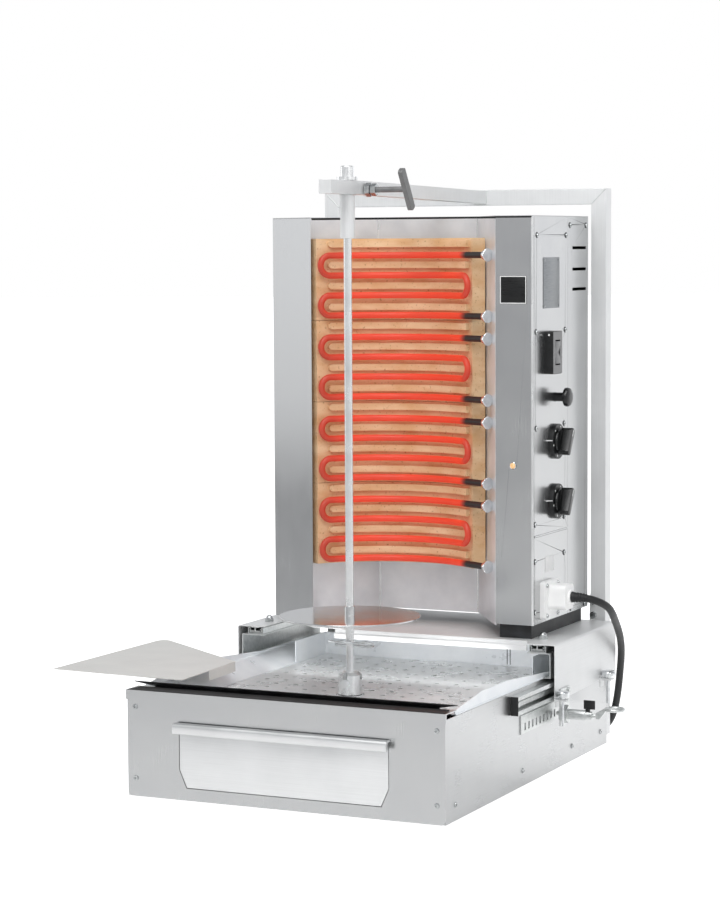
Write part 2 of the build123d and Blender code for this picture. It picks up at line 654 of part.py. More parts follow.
# Loose side plate that lies on the left flange and hooks into the tray
SIDE_PLATE_Z = FLANGE_TOP + 0.4
with BuildPart() as side_plate:
    prism(
        Plane.XY.offset(SIDE_PLATE_Z),
        [(-409, -272), (-183, -286), (-190, -106), (-402, 52)],
        1.2,
    )
    fillet(side_plate.edges().filter_by(Axis.Z).group_by(Axis.Y)[-1], 12)
    prism(
        Plane.XY.offset(SIDE_PLATE_Z - 14),
        [(-187.5, -195), (-186.3, -195), (-189.8, -107), (-191, -107)],
        14,
    )
side_plate.part.label = "side_plate"
export_step(side_plate.part, "parts/side_plate.step")

# Drawer: an open box on the runners
with BuildPart() as drawer_box:
    slab(-DRAWER_BOX_X, DRAWER_BOX_X, SHEET - BASE_Y, DRAWER_BACK, 21, 98)
    fillet(drawer_box.edges().filter_by(Axis.Z).group_by(Axis.Y)[-1], 6)
    slab(
        SHEET - DRAWER_BOX_X, DRAWER_BOX_X - SHEET, 2 * SHEET - BASE_Y, DRAWER_BACK - SHEET,
        21 + SHEET, 98, mode=Mode.SUBTRACT,
    )
drawer_box.part.label = "drawer_box"
export_step(drawer_box.part, "parts/drawer_box.step")

# Drawer front with a folded lip as its handle
with BuildPart() as drawer_front:
    prism(
        Plane.XZ.offset(BASE_Y - SHEET),
        [
            (-DRAWER_FOOT_X, DRAWER_BOTTOM), (DRAWER_FOOT_X, DRAWER_BOTTOM),
            (DRAWER_X, DRAWER_CORNER_Z), (DRAWER_X, DRAWER_TOP), (-DRAWER_X, DRAWER_TOP),
            (-DRAWER_X, DRAWER_CORNER_Z),
        ],
        SHEET,
    )
    slab(-DRAWER_X, DRAWER_X, HANDLE_FRONT, -BASE_Y, DRAWER_TOP - SHEET, DRAWER_TOP)
    slab(
        -HANDLE_X, HANDLE_X, HANDLE_FRONT, -BASE_Y - 2, DRAWER_TOP - SHEET, DRAWER_TOP
    )
    slab(-HANDLE_X, HANDLE_X, HANDLE_FRONT, HANDLE_FRONT + 2, 100, DRAWER_TOP)
    for z in (110.6, 112.8):
        slab(
            -HANDLE_X, HANDLE_X, HANDLE_FRONT, HANDLE_FRONT + 0.7, z, z + 0.9,
            mode=Mode.SUBTRACT,
        )
drawer_front.part.label = "drawer_front"
export_step(drawer_front.part, "parts/drawer_front.step")

# Middle members of the two telescopic slides
with BuildPart() as slide_middles:
    for side in (-1, 1):
        for x0, x1, z0, z1 in (
            (226.5, 248.5, 188, 189.2),
            (226.5, 227.7, 189.2, 193.5),
            (247.3, 248.5, 189.2, 193.5),
            (227.7, 229.5, 192.3, 193.5),
            (245.5, 247.3, 192.3, 193.5),
        ):
            slab(side * x0, side * x1, BRIDGE_FRONT + 4, 300, z0, z1)
slide_middles.part.label = "slide_middles"
export_step(slide_middles.part, "parts/slide_middles.step")

# Inner members, screwed under the bridge
with BuildPart() as slide_inners:
    for side in (-1, 1):
        for x0, x1, z0, z1 in (
            (230.5, 244.5, 196, 197.5),
            (236.5, 238.5, 191.2, 196),
            (228.5, 246.5, 190, 191.2),
        ):
            slab(side * x0, side * x1, BRIDGE_FRONT + 2, BRIDGE_BACK - 2, z0, z1)
slide_inners.part.label = "slide_inners"
export_step(slide_inners.part, "parts/slide_inners.step")

# Bridge: an inverted U of sheet over the base, with its front left corner cut away
CUT_LEFT = -221
CUT_BACK = 79
with BuildPart() as bridge:
    slab(-BRIDGE_X, BRIDGE_X, BRIDGE_FRONT, BRIDGE_BACK, BRIDGE_SKIRT, BRIDGE_TOP)
    fillet(bridge.edges().filter_by(Axis.Y).group_by(Axis.Z)[-1], 4)
    slab(
        SHEET - BRIDGE_X, BRIDGE_X - SHEET, BRIDGE_FRONT, BRIDGE_BACK, BRIDGE_SKIRT,
        BRIDGE_TOP - SHEET, mode=Mode.SUBTRACT,
    )
    prism(
        Plane.XY.offset(BRIDGE_TOP - 2 * SHEET),
        [
            (CUT_LEFT, BRIDGE_FRONT - 1), (CUT_LEFT, 128), (-150, CUT_BACK), (STRIP_LEFT, CUT_BACK),
            (STRIP_LEFT, BRIDGE_FRONT - 1),
        ],
        3 * SHEET, mode=Mode.SUBTRACT,
    )
    slab(STRIP_LEFT, STRIP_RIGHT, BRIDGE_FRONT - 2, BRIDGE_FRONT + SHEET, SLIDE_Z + 2.5, 196)
    slab(STRIP_LEFT, STRIP_RIGHT, BRIDGE_FRONT, BRIDGE_FRONT + SHEET, 196, BRIDGE_TOP + 4)
    for side in (-1, 1):
        prism(
            Plane.YZ.offset(side * BRIDGE_X - (side + 1)),
            [(BRIDGE_FRONT, BRIDGE_SKIRT), (BRIDGE_BACK, BRIDGE_SKIRT), (BRIDGE_BACK, 118)],
            2, mode=Mode.SUBTRACT,
        )
    for x, y, _, stem, shoulder in (FRONT_PIN, REAR_PIN):
        front = max(y - 8, BRIDGE_FRONT)
        slab(BRIDGE_X, BRIDGE_X + 2, front, y + 8, 106, shoulder)
        slab(BRIDGE_X, x + 7, front, y + 8, shoulder - 3.3, shoulder - 0.3)
        bar(stem + RUNNING_FIT, (x, y, 100), (0, 0, 1), 30, mode=Mode.SUBTRACT)
bridge.part.label = "bridge"
export_step(bridge.part, "parts/bridge.step")

# Dark inset blocks between the bridge and the head, and the head's floor
with BuildPart() as head_platform:
    slab(-236, -176, 140, 308, BRIDGE_TOP, WING_BOTTOM)
    slab(-236, -176, 201.5, 308, WING_BOTTOM, BOX_BOTTOM)
    slab(BOX_LEFT + 1, 212, 92, 308, BRIDGE_TOP, BOX_BOTTOM)
    slab(-240, BOX_LEFT + 1, 201.5, 316, BOX_BOTTOM - 2, BOX_BOTTOM)
head_platform.part.label = "head_platform"
export_step(head_platform.part, "parts/head_platform.step")

# Faceted reflector wall behind the heaters
RECESS = [(-172, 104), (-90, 200), (80, 200), (BOX_LEFT - 1.5, HEAD_FRONT + 2)]
with BuildPart() as back_wall:
    folded(RECESS, HEAD_SHEET, RECESS_BOTTOM, HEAD_TOP)
back_wall.part.label = "back_wall"
export_step(back_wall.part, "parts/back_wall.step")

# Left wing: the swept front face and the left side wall
with BuildPart() as left_wing:
    folded(
        [(-172, 102.5), (-150, HEAD_FRONT), (WING_X, WING_Y), (WING_X, HEAD_BACK - HEAD_SHEET)],
        -HEAD_SHEET, WING_BOTTOM, HEAD_TOP,
    )
left_wing.part.label = "left_wing"
export_step(left_wing.part, "parts/left_wing.step")

# Control box: front face, inner wall and floor; its open side is closed by the panels
with BuildPart() as control_box:
    slab(BOX_LEFT, BOX_RIGHT, HEAD_FRONT, HEAD_FRONT + HEAD_SHEET, BOX_BOTTOM, HEAD_TOP)
    slab(BOX_LEFT, BOX_LEFT + HEAD_SHEET, HEAD_FRONT, PANEL_BACK + 80, BOX_BOTTOM, HEAD_TOP)
    slab(
        BOX_LEFT, BOX_RIGHT - HEAD_SHEET, HEAD_FRONT, PANEL_BACK + 80, BOX_BOTTOM,
        BOX_BOTTOM + HEAD_SHEET,
    )
    bar(5.6, (187, HEAD_FRONT, 462.5), (0, 1, 0), 4, mode=Mode.SUBTRACT)
control_box.part.label = "control_box"
export_step(control_box.part, "parts/control_box.step")

# Screws of the head, each with the side of the box that it is on
PANEL_SCREWS = [
    (97, 808.5), (219.5, 808.5), (93, 663.5), (216, 663.5), (93, 518.5), (212, 519),
    (89, 373.5), (212, 374.5),
]
CONNECTION_SCREWS = [(89, 317), (212, 318.5), (89, 240), (212, 233)]
COVER_SCREWS = [(237, 824), (308, 824), (241.5, 227.5), (302, 227.5)]

# Control panel, with holes for the shafts of the controls
with BuildPart() as control_panel:
    slab(
        BOX_RIGHT - HEAD_SHEET, BOX_RIGHT, HEAD_FRONT + HEAD_SHEET + 0.5, PANEL_BACK - 0.4,
        PANEL_SPLIT + PANEL_GAP, HEAD_TOP,
    )
    slab(
        BOX_RIGHT, BOX_RIGHT + 2, HEAD_FRONT + 4, PANEL_BACK - 4, PANEL_SPLIT + PANEL_GAP,
        PANEL_SPLIT + PANEL_GAP + 2,
    )
    for z in (UPPER_KNOB_Z, LOWER_KNOB_Z):
        bar(3.6, (BOX_RIGHT - 4, DIAL_Y, z), (1, 0, 0), 8, mode=Mode.SUBTRACT)
    bar(PUSH_STEM + 0.5, (BOX_RIGHT - 4, DIAL_Y, PUSH_Z), (1, 0, 0), 8, mode=Mode.SUBTRACT)
    slab(
        BOX_RIGHT - 4, BOX_RIGHT + 4, SWITCH_Y - 14, SWITCH_Y + 14, SWITCH_Z - 24,
        SWITCH_Z + 24, mode=Mode.SUBTRACT,
    )
    for y, z in PANEL_SCREWS:
        bar(2, (BOX_RIGHT - 4, y, z), (1, 0, 0), 8, mode=Mode.SUBTRACT)
control_panel.part.label = "control_panel"
export_step(control_panel.part, "parts/control_panel.step")

# Connection panel below it
with BuildPart() as connection_panel:
    slab(
        BOX_RIGHT - HEAD_SHEET, BOX_RIGHT, HEAD_FRONT + HEAD_SHEET + 0.5, PANEL_BACK - 0.4,
        BOX_BOTTOM, PANEL_SPLIT - PANEL_GAP,
    )
    for y, z in CONNECTION_SCREWS:
        bar(2, (BOX_RIGHT - 4, y, z), (1, 0, 0), 8, mode=Mode.SUBTRACT)
connection_panel.part.label = "connection_panel"
export_step(connection_panel.part, "parts/connection_panel.step")

# Rear cover: the slotted right strip and the whole back of the head
with BuildPart() as rear_cover:
    folded(
        [(BOX_RIGHT, PANEL_BACK), (BOX_RIGHT, HEAD_BACK), (WING_X, HEAD_BACK)],
        HEAD_SHEET, BOX_BOTTOM, HEAD_TOP,
    )
    for z in (789, 756, 725):
        slab(
            BOX_RIGHT - 4, BOX_RIGHT + 4, 248, 308, z - 2.2, z + 2.2, mode=Mode.SUBTRACT
        )
        for x in (-160, -40, 80):
            slab(
                x - 40, x + 40, HEAD_BACK - 4, HEAD_BACK + 4, z - 2.2, z + 2.2,
                mode=Mode.SUBTRACT,
            )
    for y, z in COVER_SCREWS:
        bar(2, (BOX_RIGHT - 4, y, z), (1, 0, 0), 8, mode=Mode.SUBTRACT)
rear_cover.part.label = "rear_cover"
export_step(rear_cover.part, "parts/rear_cover.step")

# Flat top cover over the head
with BuildPart() as top_cover:
    prism(
        Plane.XY.offset(HEAD_TOP),
        [
            (BOX_RIGHT, HEAD_FRONT), (BOX_RIGHT, HEAD_BACK), (WING_X, HEAD_BACK),
            (WING_X, WING_Y), (-150, HEAD_FRONT), (-172, 104), (-90, 200), (80, 200),
            (BOX_LEFT, HEAD_FRONT),
        ],
        HEAD_SHEET,
    )
top_cover.part.label = "top_cover"
export_step(top_cover.part, "parts/top_cover.step")


def on_arc(radius, angle, z):
    """Gives a point on an upright cylinder about the heaters' centre."""
    return Vector(ARC_X + radius * cos(radians(angle)), radius * sin(radians(angle)), z)


# Ceramic bricks with their ribs
with BuildPart() as bricks:
    for brick in range(BRICK_COUNT):
        top = BRICK_TOP - BRICK_HEIGHT * brick
        with BuildSketch(Plane.XY.offset(top - BRICK_HEIGHT + BRICK_GAP)):
            with BuildLine():
                inner = CenterArc((ARC_X, 0), BRICK_RADIUS, BRICK_FROM, BRICK_TO - BRICK_FROM)
                outer = CenterArc(
                    (ARC_X, 0), BRICK_RADIUS + BRICK_THICK, BRICK_FROM, BRICK_TO - BRICK_FROM
                )
                Line(inner @ 0, outer @ 0)
                Line(inner @ 1, outer @ 1)
            make_face()
        extrude(amount=BRICK_HEIGHT - BRICK_GAP)
        for rib in range(4):
            z = top - RIB_FIRST - RIB_STEP * rib
            with BuildSketch(Plane.XY.offset(z - RIB_HEIGHT / 2)):
                with BuildLine():
                    inner = CenterArc((ARC_X, 0), RIB_RADIUS, RIB_FROM, RIB_TO - RIB_FROM)
                    outer = CenterArc((ARC_X, 0), BRICK_RADIUS + 2, RIB_FROM, RIB_TO - RIB_FROM)
                    Line(inner @ 0, outer @ 0)
                    Line(inner @ 1, outer @ 1)
                make_face()
            extrude(amount=RIB_HEIGHT)
            outward = on_arc(1, RIB_TO, 0) - on_arc(0, RIB_TO, 0)
            bar(RIB_HEIGHT / 2, on_arc(RIB_RADIUS, RIB_TO, z), outward, 9)
bricks.part.label = "bricks"
export_step(bricks.part, "parts/bricks.step")

# Heating tubes: one unbroken tube per brick, in four rows with three turns
TURN_MIDDLE = (TURN_LEFT + TURN_RIGHT) / 2
LEAD_WAY = Vector(sin(radians(LEAD_FROM)), -cos(radians(LEAD_FROM)), 0)
LEFT_BULGE = Vector(-sin(radians(TURN_LEFT)), cos(radians(TURN_LEFT)), 0) * (ROW_STEP / 2)
RIGHT_BULGE = Vector(sin(radians(TURN_RIGHT)), -cos(radians(TURN_RIGHT)), 0) * (ROW_STEP / 2)
with BuildPart() as heating_elements:
    for brick in range(BRICK_COUNT):
        rows = [BRICK_TOP - BRICK_HEIGHT * brick - ROW_FIRST - ROW_STEP * row for row in range(4)]
        with BuildLine() as tube:
            Line(
                on_arc(TUBE_ARC, LEAD_FROM, rows[0]) + LEAD_WAY * LEAD_LENGTH,
                on_arc(TUBE_ARC, LEAD_FROM, rows[0]),
            )
            ThreePointArc(
                on_arc(TUBE_ARC, LEAD_FROM, rows[0]), on_arc(TUBE_ARC, TURN_MIDDLE, rows[0]),
                on_arc(TUBE_ARC, TURN_LEFT, rows[0]),
            )
            ThreePointArc(
                on_arc(TUBE_ARC, TURN_LEFT, rows[0]),
                on_arc(TUBE_ARC, TURN_LEFT, (rows[0] + rows[1]) / 2) + LEFT_BULGE,
                on_arc(TUBE_ARC, TURN_LEFT, rows[1]),
            )
            ThreePointArc(
                on_arc(TUBE_ARC, TURN_LEFT, rows[1]), on_arc(TUBE_ARC, TURN_MIDDLE, rows[1]),
                on_arc(TUBE_ARC, TURN_RIGHT, rows[1]),
            )
            ThreePointArc(
                on_arc(TUBE_ARC, TURN_RIGHT, rows[1]),
                on_arc(TUBE_ARC, TURN_RIGHT, (rows[1] + rows[2]) / 2) + RIGHT_BULGE,
                on_arc(TUBE_ARC, TURN_RIGHT, rows[2]),
            )
            ThreePointArc(
                on_arc(TUBE_ARC, TURN_RIGHT, rows[2]), on_arc(TUBE_ARC, TURN_MIDDLE, rows[2]),
                on_arc(TUBE_ARC, TURN_LEFT, rows[2]),
            )
            ThreePointArc(
                on_arc(TUBE_ARC, TURN_LEFT, rows[2]),
                on_arc(TUBE_ARC, TURN_LEFT, (rows[2] + rows[3]) / 2) + LEFT_BULGE,
                on_arc(TUBE_ARC, TURN_LEFT, rows[3]),
            )
            ThreePointArc(
                on_arc(TUBE_ARC, TURN_LEFT, rows[3]), on_arc(TUBE_ARC, TURN_MIDDLE, rows[3]),
                on_arc(TUBE_ARC, LEAD_FROM, rows[3]),
            )
            Line(
                on_arc(TUBE_ARC, LEAD_FROM, rows[3]),
                on_arc(TUBE_ARC, LEAD_FROM, rows[3]) + LEAD_WAY * LEAD_LENGTH,
            )
        with BuildSketch(Plane(tube.line @ 0, z_dir=tube.line % 0)) as tube_end:
            Circle(TUBE_RADIUS)
        sweep(tube_end.sketch, path=tube.line)
heating_elements.part.label = "heating_elements"
export_step(heating_elements.part, "parts/heating_elements.step")

# Chromed collars where the tubes' cold ends meet the reflector wall
with BuildPart() as terminals:
    for brick in range(BRICK_COUNT):
        for row in (0, 3):
            z = BRICK_TOP - BRICK_HEIGHT * brick - ROW_FIRST - ROW_STEP * row
            start = on_arc(TUBE_ARC, LEAD_FROM, z) + LEAD_WAY * (LEAD_LENGTH - 11)
            bar(7.6, start, LEAD_WAY, 8)
            bar(TUBE_RADIUS + 0.05, start, LEAD_WAY, 8, mode=Mode.SUBTRACT)
terminals.part.label = "terminals"
export_step(terminals.part, "parts/terminals.step")

# Bare plates: one on the panel, one on the front of the box
with BuildPart() as plates:
    slab(BOX_RIGHT, BOX_RIGHT + 0.8, 122, 190, 698, 775)
    slab(166, 209, HEAD_FRONT - 0.8, HEAD_FRONT, 706, 748)
    slab(BOX_RIGHT, BOX_RIGHT + 0.4, 131, 168, 296, 320)
plates.part.label = "plates"
export_step(plates.part, "parts/plates.step")

# Pilot lamp in the front of the box
with BuildPart() as pilot_lamp:
    bar(5.5, (187, HEAD_FRONT + 12, 462.5), (0, -1, 0), 14)
    fillet(pilot_lamp.edges().filter_by(GeomType.CIRCLE).group_by(Axis.Y)[0], 1.5)
pilot_lamp.part.label = "pilot_lamp"
export_step(pilot_lamp.part, "parts/pilot_lamp.step")

# Switch housing on the panel, with a hollow for its rocker and a bore for its pivot pin
ROCKER_PIN = 1.5
with BuildPart() as switch_housing:
    slab(
        BOX_RIGHT, BOX_RIGHT + 13, SWITCH_Y - 19.5, SWITCH_Y + 19.5, SWITCH_Z - 32.5,
        SWITCH_Z + 32.5,
    )
    fillet(switch_housing.edges().filter_by(Axis.X), 4)
    slab(
        BOX_RIGHT - 18, BOX_RIGHT, SWITCH_Y - 13.5, SWITCH_Y + 13.5, SWITCH_Z - 23.5,
        SWITCH_Z + 23.5,
    )
    slab(
        BOX_RIGHT, BOX_RIGHT + 13, SWITCH_Y - 10, SWITCH_Y + 10, SWITCH_Z - 19,
        SWITCH_Z + 19, mode=Mode.SUBTRACT,
    )
    bar(
        ROCKER_PIN + RUNNING_FIT, (BOX_RIGHT + 7, SWITCH_Y - 12.3, SWITCH_Z), (0, 1, 0), 24.6,
        mode=Mode.SUBTRACT,
    )
switch_housing.part.label = "switch_housing"
export_step(switch_housing.part, "parts/switch_housing.step")

# Rocker that tips about a cross axis in that hollow
with BuildPart() as rocker:
    prism(
        Plane.XZ.offset(-SWITCH_Y - 9.5),
        [
            (BOX_RIGHT + 6, SWITCH_Z - 17), (BOX_RIGHT + 15, SWITCH_Z - 17),
            (BOX_RIGHT + 12, SWITCH_Z), (BOX_RIGHT + 15, SWITCH_Z + 17),
            (BOX_RIGHT + 6, SWITCH_Z + 17), (BOX_RIGHT + 3.4, SWITCH_Z),
        ],
        19,
    )
    bar(ROCKER_PIN, (BOX_RIGHT + 7, SWITCH_Y - 12, SWITCH_Z), (0, 1, 0), 24)
rocker.part.label = "rocker"
export_step(rocker.part, "parts/rocker.step")

# Regulators and the push button's contact block behind the panel
with BuildPart() as regulators:
    for z in (UPPER_KNOB_Z, LOWER_KNOB_Z):
        slab(BOX_RIGHT - 36, BOX_RIGHT - HEAD_SHEET, DIAL_Y - 20, DIAL_Y + 20, z - 20, z + 20)
        bar(3.1, (BOX_RIGHT - 20, DIAL_Y, z), (1, 0, 0), 20, mode=Mode.SUBTRACT)
    slab(BOX_RIGHT - 40, BOX_RIGHT - 12, DIAL_Y - 14, DIAL_Y + 14, PUSH_Z - 14, PUSH_Z + 14)
regulators.part.label = "regulators"
export_step(regulators.part, "parts/regulators.step")

# Dials: fixed printed discs behind the knobs
with BuildPart() as dials:
    for z in (UPPER_KNOB_Z, LOWER_KNOB_Z):
        bar(DIAL_RADIUS, (BOX_RIGHT, DIAL_Y, z), (1, 0, 0), DIAL_THICK)
        bar(3.6, (BOX_RIGHT, DIAL_Y, z), (1, 0, 0), DIAL_THICK, mode=Mode.SUBTRACT)
dials.part.label = "dials"
export_step(dials.part, "parts/dials.step")


def knob(name, z):
    """Adds a skirted knob with a leaning block grip, and the shaft that it turns."""
    foot = BOX_RIGHT + DIAL_THICK + 0.4
    bar(19, (foot, DIAL_Y, z), (1, 0, 0), 4)
    fillet(name.edges().filter_by(GeomType.CIRCLE).group_by(Axis.X)[-1], 2)
    with Locations(Location((foot + 2, DIAL_Y, z), (KNOB_LEAN, 0, 0))):
        Box(18, 12, 44, align=(Align.MIN, Align.CENTER, Align.CENTER))
    fillet(name.edges().filter_by(Axis.X).group_by(Axis.X)[-1], 3)
    bar(3, (BOX_RIGHT - 18, DIAL_Y, z), (1, 0, 0), 26)


with BuildPart() as knob_upper:
    knob(knob_upper, UPPER_KNOB_Z)
knob_upper.part.label = "knob_upper"
export_step(knob_upper.part, "parts/knob_upper.step")

with BuildPart() as knob_lower:
    knob(knob_lower, LOWER_KNOB_Z)
knob_lower.part.label = "knob_lower"
export_step(knob_lower.part, "parts/knob_lower.step")

# Mushroom push button
with BuildPart() as push_knob:
    bar(PUSH_STEM, (BOX_RIGHT - 5, DIAL_Y, PUSH_Z), (1, 0, 0), 25)
    bar(14.5, (BOX_RIGHT + 16, DIAL_Y, PUSH_Z), (1, 0, 0), 10)
    fillet(push_knob.edges().filter_by(GeomType.CIRCLE).group_by(Axis.X)[-1], 5)
push_knob.part.label = "push_knob"
export_step(push_knob.part, "parts/push_knob.step")

# Mains inlet: flange, body and gland on the connection panel
with BuildPart() as inlet_connector:
    slab(BOX_RIGHT, BOX_RIGHT + 9, 109, 168, 226, 284)
    fillet(inlet_connector.edges().filter_by(Axis.X), 5)
    slab(BOX_RIGHT + 9, INLET_END - 4, INLET_Y - 18, INLET_Y + 18, INLET_Z - 19, INLET_Z + 19)
    fillet(inlet_connector.edges().filter_by(Axis.X).group_by(Axis.X)[-1], 7)
    bar(11, (INLET_END - 4, INLET_Y, INLET_Z), (1, 0, 0), 4)
    for y in (116, 161):
        for z in (232, 278):
            bar(2, (BOX_RIGHT, y, z), (1, 0, 0), 9, mode=Mode.SUBTRACT)
inlet_connector.part.label = "inlet_connector"
export_step(inlet_connector.part, "parts/inlet_connector.step")

# Screws of the panels and of the inlet, and acorn nuts on the bridge
with BuildPart() as head_fasteners:
    for y, z in PANEL_SCREWS + CONNECTION_SCREWS + COVER_SCREWS:
        screw((BOX_RIGHT, y, z), (1, 0, 0), radius=3.6)
    for y in (116, 161):
        for z in (232, 278):
            screw((BOX_RIGHT + 9, y, z), (1, 0, 0), radius=3.6)
    for x in (-238, 228):
        hexagon(13, (x, 100, BRIDGE_TOP), (0, 0, 1), 5)
        with Locations((x, 100, BRIDGE_TOP + 5)):
            Sphere(5.6)
        slab(x - 8, x + 8, 92, 108, BRIDGE_TOP - 8, BRIDGE_TOP, mode=Mode.SUBTRACT)
head_fasteners.part.label = "head_fasteners"
export_step(head_fasteners.part, "parts/head_fasteners.step")

# Plunger housing: a plate on the bridge's skirt, two nuts and the barrel
with BuildPart() as plunger_housing:
    slab(BRIDGE_X, BRIDGE_X + 2, 66, 104, 74, 130)
    hexagon(24, (BRIDGE_X + 2, FIRST_SLOT_Y, PLUNGER_Z), (1, 0, 0), 6)
    bar(7.8, (BRIDGE_X + 8, FIRST_SLOT_Y, PLUNGER_Z), (1, 0, 0), 28)
    bar(6.2, (BRIDGE_X + 36, FIRST_SLOT_Y, PLUNGER_Z), (1, 0, 0), 10)
    bar(3.2, (BRIDGE_X - 5, FIRST_SLOT_Y, PLUNGER_Z), (1, 0, 0), 60, mode=Mode.SUBTRACT)
    hexagon(24, (BRIDGE_X - 4, FIRST_SLOT_Y, PLUNGER_Z), (1, 0, 0), 4)
    bar(3.2, (BRIDGE_X - 5, FIRST_SLOT_Y, PLUNGER_Z), (1, 0, 0), 6, mode=Mode.SUBTRACT)
    for y in (71, 99):
        bar(4, (BRIDGE_X + 2, y, 124), (1, 0, 0), 3)
plunger_housing.part.label = "plunger_housing"
export_step(plunger_housing.part, "parts/plunger_housing.step")

# Index plunger with its pull ring, drawn clear of the rack
RING_RISE = 12
NECK_WIDTH = 7
with BuildPart() as index_plunger:
    bar(3.1, (BASE_X + 6, FIRST_SLOT_Y, PLUNGER_Z), (1, 0, 0), BRIDGE_X + 50 - BASE_X)
    with Locations((BRIDGE_X + 81, FIRST_SLOT_Y, PLUNGER_Z + RING_RISE)):
        Torus(13, 2.6)
    prism(
        Plane.XZ.offset(-FIRST_SLOT_Y - NECK_WIDTH / 2),
        [
            (BRIDGE_X + 52, PLUNGER_Z - 4), (BRIDGE_X + 58, PLUNGER_Z - 4),
            (BRIDGE_X + 68, PLUNGER_Z + 9.7), (BRIDGE_X + 68, PLUNGER_Z + 14.2),
            (BRIDGE_X + 52, PLUNGER_Z + 5),
        ],
        NECK_WIDTH,
    )
index_plunger.part.label = "index_plunger"
export_step(index_plunger.part, "parts/index_plunger.step")


def lock_pin(place, foot):
    """Adds a mushroom headed pin that hangs by its shoulder in an ear of the bridge."""
    x, y, head, stem, shoulder = place
    bar(stem, (x, y, foot), (0, 0, 1), shoulder + 4 - foot)
    bar(stem + 2.5, (x, y, shoulder), (0, 0, 1), 4)
    bar(head, (x, y, shoulder + 4), (0, 0, 1), 8)


with BuildPart() as lock_pin_front:
    lock_pin(FRONT_PIN, 77)
    fillet(lock_pin_front.edges().filter_by(GeomType.CIRCLE).group_by(Axis.Z)[-1], 3)
lock_pin_front.part.label = "lock_pin_front"
export_step(lock_pin_front.part, "parts/lock_pin_front.step")

with BuildPart() as lock_pin_rear:
    lock_pin(REAR_PIN, 80)
    fillet(lock_pin_rear.edges().filter_by(GeomType.CIRCLE).group_by(Axis.Z)[-1], 5)
lock_pin_rear.part.label = "lock_pin_rear"
export_step(lock_pin_rear.part, "parts/lock_pin_rear.step")


def turn_point(turns):
    """Gives a point of the wound coil after a number of turns, and its direction."""
    half = COIL_TURNS / 2
    inward = turns if turns < half else COIL_TURNS - turns
    radius = COIL_RADIUS - COIL_PITCH * inward
    slope = 0 if turns == half else COIL_PITCH / (2 * pi) * (-1 if turns < half else 1)
    share = min(max((turns - half + 0.25) / 0.5, 0), 1)
    climb = COIL_PITCH * share * share * (3 - 2 * share)
    rise = COIL_PITCH * 6 * share * (1 - share) / 0.5 / (2 * pi)
    angle = -pi / 2 - 2 * pi * turns
    place = Vector(
        COIL_X + radius * cos(angle), COIL_Y + radius * sin(angle), COIL_Z + climb
    )
    heading = Vector(
        radius * sin(angle) + slope * cos(angle), -radius * cos(angle) + slope * sin(angle), rise
    )
    return place, heading.normalized()


def meeting_point(start, toward, end, away):
    """Gives the point where two arcs with these end directions join smoothly."""
    span = end - start
    total = toward + away
    spread = 2 * (1 - toward.dot(away))
    reach = (-span.dot(total) + sqrt(span.dot(total) ** 2 + spread * span.dot(span))) / spread
    return (start + toward * reach + end - away * reach) * 0.5


# Wound coil of the cable's spare length: in on the lower layer, out on the upper one
PLUG_LEAD = 66
with BuildPart() as cable_coil:
    with BuildLine() as coil_line:
        place, heading = turn_point(0)
        COIL_START = place - heading * CORD
        Line(COIL_START, place)
        for quarter in range(1, 4 * COIL_TURNS + 1):
            following, onward = turn_point(quarter / 4)
            joint = meeting_point(place, heading, following, onward)
            first = TangentArc(place, joint, tangent=heading)
            TangentArc(joint, following, tangent=first % 1)
            place, heading = following, onward
        COIL_END = place + heading * PLUG_LEAD
        Line(place, COIL_END)
    with BuildSketch(Plane(coil_line.line @ 0, z_dir=coil_line.line % 0)) as coil_section:
        Circle(CORD / 2)
    sweep(coil_section.sketch, path=coil_line.line)
cable_coil.part.label = "cable_coil"
export_step(cable_coil.part, "parts/cable_coil.step")

coil_wire = coil_line.wire()
samples = [coil_wire @ (step / 700) for step in range(701)]
spacing = coil_wire.length / 700
apart = int(3 * CORD / spacing)
gap = min(
    (samples[one] - samples[two]).length
    for one in range(701)
    for two in range(one + apart, 701)
)
print("coil length", round(coil_wire.length), "least gap", round(gap - CORD, 2))

# Free stretch of the cable, from the inlet down behind the base to the coil
CORD_HEADING = turn_point(0)[1]
route = [Vector(*point) for point in CORD_ROUTE]
route += [COIL_START - CORD_HEADING * 29, COIL_START]
bends = []
for before, corner, after in zip(route, route[1:], route[2:]):
    turn = (corner - before).get_angle(after - corner)
    shorter = min((corner - before).length, (after - corner).length)
    bends.append(0.45 * shorter / tan(radians(turn / 2)))
    print("bend", round(turn, 1), "degrees, radius", round(bends[-1]))
with BuildPart() as mains_cable:
    with BuildLine() as cable_line:
        FilletPolyline(*route, radius=bends)
    with BuildSketch(Plane(cable_line.line @ 0, z_dir=cable_line.line % 0)) as cable_section:
        Circle(CORD / 2)
    sweep(cable_section.sketch, path=cable_line.line)
mains_cable.part.label = "mains_cable"
export_step(mains_cable.part, "parts/mains_cable.step")
section = pi * CORD * CORD / 4
print(
    "cable length", round(cable_line.wire().length),
    "by volume", round(mains_cable.part.volume / section),
)

# Plug at the far end, beside the coil
with BuildPart() as mains_plug:
    bar(8.5, COIL_END, heading, 14)
    bar(18.6, COIL_END + heading * 14, heading, 44)
    fillet(mains_plug.edges().filter_by(GeomType.CIRCLE).group_by(Axis.X)[-2:], 1)
    for side in (-1, 1):
        pin = COIL_END + heading * 57 + Vector(0, 9.5 * side, 0)
        bar(2.4, pin, heading, 20)
mains_plug.part.label = "mains_plug"
export_step(mains_plug.part, "parts/mains_plug.step")
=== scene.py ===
"""Dresses an electric kebab grill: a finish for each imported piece, and fine pieces that ride on them."""

from math import cos, pi, radians, sin

import bmesh
import bpy
from mathutils import Matrix, Vector


